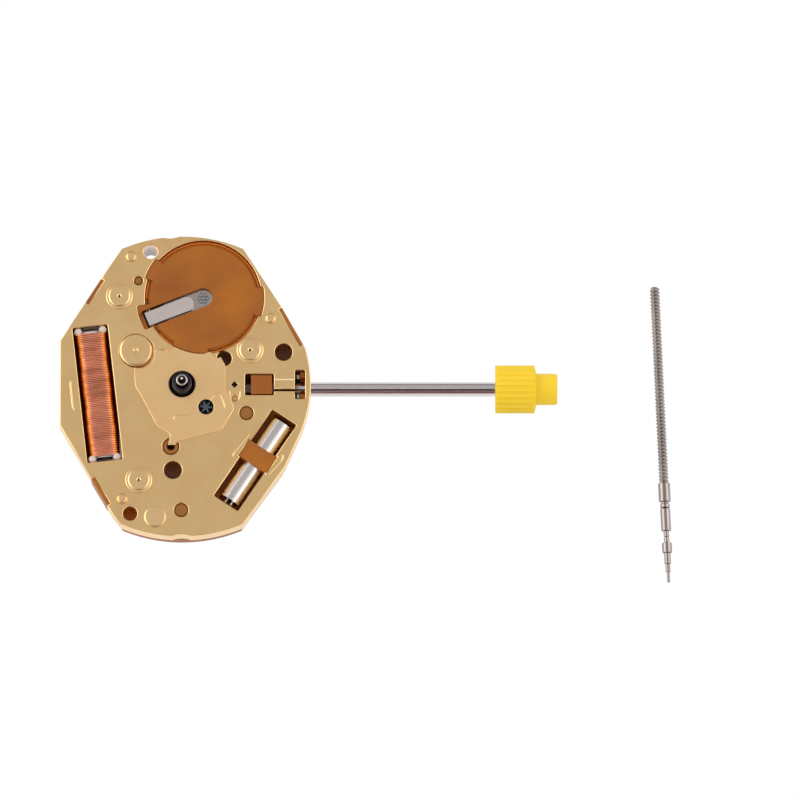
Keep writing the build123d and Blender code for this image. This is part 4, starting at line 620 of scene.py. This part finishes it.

# Painted shade: the end of the key in the square recess, in black, with a bevelled rim: half widths and
# depths below the plate
KEY_STEPS = ((0.13, 0.05), (0.148, 0.09), (0.148, 0.39))
work = bmesh.new()
ends = [
    [work.verts.new(point) for point in arc(KEY, half * math.sqrt(2), PLATE_TOP - depth, round_angles(4))]
    for half, depth in KEY_STEPS
]
for first, second in zip(ends, ends[1:]):
    skin(work, first, second)
work.faces.new(ends[0])
work.faces.new(ends[-1])
build("key_recess_shade", work, shade_black)

# Head of the setting wheel's post, in its view opening
work = bmesh.new()
lathe(work, (
    (0, -0.15), (0.15, -0.15), (0.185, -0.19), (0.185, -0.50), (0.15, -0.62), (0, -0.62),
), SETTING_POST, steps=48)
build("setting_post_head", work, post_plastic)

# Moulded faces of the carrier's pegs, darker brown as painted shade, and a ring of painted shade in the gap
# round each
PEG_FACE = -0.145
PEG_RIM = -0.155
GAP_WIRE = 0.03
faces, gaps = bmesh.new(), bmesh.new()
for x, y, hole, reach in PEGS:
    inner = ((0, PEG_FACE),) if hole == 0 else ((hole + 0.02, -0.16), (hole + 0.04, PEG_FACE))
    lathe(faces, (*inner, (reach - 0.06, PEG_FACE), (reach - 0.035, PEG_RIM)), (x, y), steps=48)
    closed = [math.radians(10 * step) for step in range(37)]
    tube(gaps, arc((x, y), reach - 0.02, PEG_RIM, closed), GAP_WIRE, sides=8)
build("peg_shaded_faces", faces, peg_shaded_plastic)
build("peg_gap_shade", gaps, peg_shade)

# Painted shade: dull brown discs on the carrier's floor under the plate's open holes
WELL_TOP = -1.28
work = bmesh.new()
for x, y, reach in OPEN_HOLES:
    lathe(work, ((0, WELL_TOP), (reach - 0.05, WELL_TOP), (reach - 0.02, -1.295)), (x, y), steps=48)
build("well_floor_shade", work, well_shade_plastic)

# Pale bush in the upper dial-foot hole
work = bmesh.new()
lathe(work, ((0.44, -0.16), (0.42, -0.14), (0.42, -2.70), (0.44, -2.72)), DIAL_FOOT)
build("foot_bush", work, bush)

# Bobbin: the drum and two cheeks of pale plastic, each with a notch where the wire comes out and two posts
CHEEK = 0.22
CHEEK_OUTLINE = (
    (-1.03, -0.99), (1.03, -0.99), (1.03, 0.55), (0.84, 0.72), (0.60, 0.72), (0.52, 0.10), (-0.52, 0.10),
    (-0.60, 0.72), (-0.84, 0.72), (-1.03, 0.55),
)
CHEEK_BEVEL = 0.05
POST_RADIUS = 0.25
POST_ACROSS = 0.77
POST_ALONG = 0.06  # beyond the winding's end
POST_SHOULDER = 0.74  # above the coil's axis
POST_FOOT = 0.1
DRUM_GAP = 0.01  # between the drum and the wire
DRUM_SIDES = 48
work = bmesh.new()
for end in (-1, 1):
    rings = []
    for side in (WINDING / 2, WINDING / 2 + CHEEK):
        ring = []
        for across, up in CHEEK_OUTLINE:
            x, y = about(COIL_CENTRE, COIL_TURN, across, end * side)
            ring.append(work.verts.new((x, y, COIL_Z + up)))
        rings.append(ring)
        work.faces.new(ring)
    skin(work, *rings)
bmesh.ops.bevel(work, geom=list(work.edges), offset=CHEEK_BEVEL, offset_type="OFFSET", segments=3,
                profile=0.5, affect="EDGES", clamp_overlap=True)
for end in (-1, 1):
    for across in (-POST_ACROSS, POST_ACROSS):
        lathe(work, domed(POST_RADIUS, POST_RADIUS, COIL_Z + POST_SHOULDER, COIL_Z + POST_FOOT),
              about(COIL_CENTRE, COIL_TURN, across, end * (WINDING / 2 + POST_ALONG)), steps=32)
rings = []
for along in (-WINDING / 2, WINDING / 2):
    ring = []
    for a in round_angles(DRUM_SIDES):
        x, y = about(COIL_CENTRE, COIL_TURN, (DRUM - DRUM_GAP) * math.cos(a), along)
        ring.append(work.verts.new((x, y, COIL_Z + (DRUM - DRUM_GAP) * math.sin(a))))
    rings.append(ring)
skin(work, *rings)
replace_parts(build("bobbin_moulding", work, cheek), "coil_bobbin")

# Winding: one fine wire laid round the drum in a dense, slightly uneven layer
WIRE = 0.115
WIRE_GIRTH = 1.06  # a little over the pitch, so that neighbouring turns touch
PLAY = 0.03  # between the layer and each cheek
UNDERLAY = 0.02  # the hidden layers below this one
PRESSED = 0.03  # the layer is lower than it is wide by this much
UNEVEN = 0.012
SWELLS = ((0.02, 2.1, 0), (0.012, 5.3, 1))  # height, rate and start of each wave along the layer
FULLNESS = (0.50, 0.78)  # of the upper and lower half: below 1 the section is fuller than round
random.seed(5)
wire_turns = int((WINDING - 2 * PLAY) / WIRE)
per_turn = 28
route = []
lift = 0.0
for step in range(wire_turns * per_turn + 1):
    share = step / (wire_turns * per_turn)
    if step % per_turn == 0:
        lift = random.uniform(-UNEVEN, UNEVEN)
    angle = 2 * math.pi * step / per_turn
    along = -WINDING / 2 + PLAY + WIRE / 2 + (WINDING - 2 * PLAY - WIRE) * share
    swell = sum(height * math.sin(along * rate + start) for height, rate, start in SWELLS)
    reach = DRUM + WIRE / 2 + UNDERLAY + lift * math.sin(angle * 0.5) + swell * abs(math.cos(angle))
    power = FULLNESS[0] if math.sin(angle) > 0 else FULLNESS[1]
    across = reach * math.copysign(abs(math.cos(angle)) ** power, math.cos(angle))
    up = (reach - PRESSED) * math.copysign(abs(math.sin(angle)) ** power, math.sin(angle))
    x, y = about(COIL_CENTRE, COIL_TURN, across, along)
    route.append(Vector((x, y, COIL_Z + up)))
work = bmesh.new()
tube(work, route, WIRE / 2 * WIRE_GIRTH)
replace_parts(build("fine_winding", work, copper, angle=80), "coil_winding")

# Loose stem: a real thread, then the turned end as steps of length and radius
LOOSE_START = (29.61, 6.87)
LOOSE_END = (30.42, -12.04)
LOOSE_SIDES = 28
THREAD_LENGTH = 12.62
THREAD_RADIUS = 0.312
THREAD_DEPTH = 0.075
PITCH = 0.225
FLANK = (1.3, 0.15)  # slope of the thread's V and the flat on its crest
TIP_SHARE = 0.7  # of the radius, where the thread begins
TIP_GROWTH = 0.3  # the distance in which that share would grow by one
EDGE = 0.03  # the chamfer at each end of a step
TIP_END = 0.05  # radius of the stem's point
LOOSE_STEPS = (
    (1.18, 0.375), (0.13, 0.22), (0.26, 0.300), (0.06, 0.25), (1.42, 0.312), (0.38, 0.17), (0.39, 0.170),
    (0.64, 0.310), (0.70, 0.205), (0.52, 0.156), (0.64, 0.100),
)
low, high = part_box("winding_stem")
loose_z = (low.z + high.z) / 2 / MM
heading = math.atan2(LOOSE_END[1] - LOOSE_START[1], LOOSE_END[0] - LOOSE_START[0])
forward = Vector((math.cos(heading), math.sin(heading), 0))
beside = Vector((-math.sin(heading), math.cos(heading), 0))


def thread_radius(along):
    """The thread's radius by angle at a distance: a V with narrow flats, fading in at the tip."""
    def reach(angle):
        phase = (along / PITCH - angle / (2 * math.pi)) % 1.0
        flank = min(1.0, max(0.0, abs(phase - 0.5) * 2 * FLANK[0] - FLANK[1]))
        return (THREAD_RADIUS - THREAD_DEPTH * flank) * min(1.0, TIP_SHARE + along / TIP_GROWTH)
    return reach


rows = [(0.0, thread_radius(0.0))]
step_length = PITCH / 10
count = int(THREAD_LENGTH / step_length)
rows += [(step_length * (i + 1), thread_radius(step_length * (i + 1))) for i in range(count - 1)]
along = THREAD_LENGTH
for length, radius in LOOSE_STEPS:
    for share, trim in ((0.0, EDGE), (EDGE / length, 0), (1 - EDGE / length, 0), (1.0, EDGE)):
        rows.append((along + length * share, lambda angle, r=radius - trim: r))
    along += length
rows.append((along + EDGE, lambda angle: TIP_END))
work = bmesh.new()
rings = []
for along, reach in rows:
    centre = Vector((LOOSE_START[0], LOOSE_START[1], loose_z)) + forward * along
    rings.append([
        work.verts.new(centre + reach(a) * (beside * math.cos(a) + Vector((0, 0, 1)) * math.sin(a)))
        for a in round_angles(LOOSE_SIDES)
    ])
for first, second in zip(rings, rings[1:]):
    skin(work, first, second)
work.faces.new(rings[0])
work.faces.new(rings[-1])
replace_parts(build("threaded_stem", work, loose_steel), "winding_stem")


def seen_or_mirrored(tree):
    """1 for the camera's rays and for mirrored ones, 0 for the rest."""
    rays = node(tree, "ShaderNodeLightPath")
    either = node(tree, "ShaderNodeMath", operation="MAXIMUM")
    link(tree, rays.outputs["Is Camera Ray"], either.inputs[0])
    link(tree, rays.outputs["Is Glossy Ray"], either.inputs[1])
    return either.outputs["Value"]


# Floor: white to the camera, with a trace of the shadow
PAPER_GREY = 0.86
bpy.ops.mesh.primitive_plane_add(size=6, location=(0, 0, FLOOR * MM))
floor = bpy.context.object
floor.name = "floor"
paper = bpy.data.materials.new("paper")
paper.use_nodes = True
tree = paper.node_tree
bsdf = tree.nodes["Principled BSDF"]
bsdf.inputs["Base Color"].default_value = (PAPER_GREY, PAPER_GREY, PAPER_GREY, 1)
bsdf.inputs["Roughness"].default_value = 0.9
bsdf.inputs["Specular IOR Level"].default_value = 0.0
glow = node(tree, "ShaderNodeEmission", Strength=1.0)
blend = node(tree, "ShaderNodeMixShader")
link(tree, seen_or_mirrored(tree), blend.inputs["Fac"])
link(tree, bsdf.outputs["BSDF"], blend.inputs[1])
link(tree, glow.outputs["Emission"], blend.inputs[2])
link(tree, blend.outputs["Shader"], tree.nodes["Material Output"].inputs["Surface"])
floor.data.materials.append(paper)

# World: soft light all round, white behind the object and in its reflections
world = bpy.data.worlds.new("studio")
scene.world = world
world.use_nodes = True
tree = world.node_tree
tree.nodes.clear()
soft = node(tree, "ShaderNodeBackground", Color=(1, 1, 1, 1), Strength=0.75)
white = node(tree, "ShaderNodeBackground", Color=(1, 1, 1, 1), Strength=1.0)
blend = node(tree, "ShaderNodeMixShader")
link(tree, seen_or_mirrored(tree), blend.inputs["Fac"])
link(tree, soft.outputs["Background"], blend.inputs[1])
link(tree, white.outputs["Background"], blend.inputs[2])
link(tree, blend.outputs["Shader"], node(tree, "ShaderNodeOutputWorld").inputs["Surface"])


def lamp(name, place, aim, size, power):
    """A soft square lamp; place, aim and size are in metres."""
    light = bpy.data.lights.new(name, "AREA")
    light.size = size
    light.energy = power
    made = bpy.data.objects.new(name, light)
    made.location = place
    made.rotation_euler = (Vector(aim) - Vector(place)).to_track_quat("-Z", "Y").to_euler()
    scene.collection.objects.link(made)


lamp("left_lamp", (-0.50, 0.10, 0.34), (0.0, 0, 0), 0.55, 1.6)
lamp("right_lamp", (0.52, 0.05, 0.34), (0.01, 0, 0), 0.50, 1.0)


def card(name, corners, shade):
    """A grey or brown card off the set that only reflections see."""
    mesh = bpy.data.meshes.new(name)
    mesh.from_pydata(corners, [], [tuple(range(len(corners)))])
    made = bpy.data.objects.new(name, mesh)
    scene.collection.objects.link(made)
    made.visible_camera = False
    made.visible_diffuse = False
    made.visible_shadow = False
    made.visible_transmission = False
    paint = bpy.data.materials.new(name)
    paint.use_nodes = True
    tree = paint.node_tree
    tree.nodes.clear()
    glow = node(tree, "ShaderNodeEmission", Color=tone(shade), Strength=1.0)
    link(tree, glow.outputs["Emission"], node(tree, "ShaderNodeOutputMaterial").inputs["Surface"])
    mesh.materials.append(paint)


CARD_REACH = 0.8  # metres from the movement's axis


def sky_point(x, angle):
    """A point on the cards' arc, at an angle in degrees from straight up towards six o'clock."""
    a = math.radians(angle)
    return (x, -CARD_REACH * math.sin(a), CARD_REACH * math.cos(a))


for name, left, right, first, last, shade in (
    ("ceiling", -0.7, 0.7, -58, 0, "C9C6C6"),
    ("back_wall", -0.7, 0.7, -89, -58, "A9A4A4"),
    ("dark_card", -0.25, 0.25, 3, 40, "57504F"),
    ("brown_card", -0.02, 0.09, 41, 84, "7C4441"),
):
    edges = ((left, first), (right, first), (right, last), (left, last))
    card(name, [sky_point(x, angle) for x, angle in edges], shade)
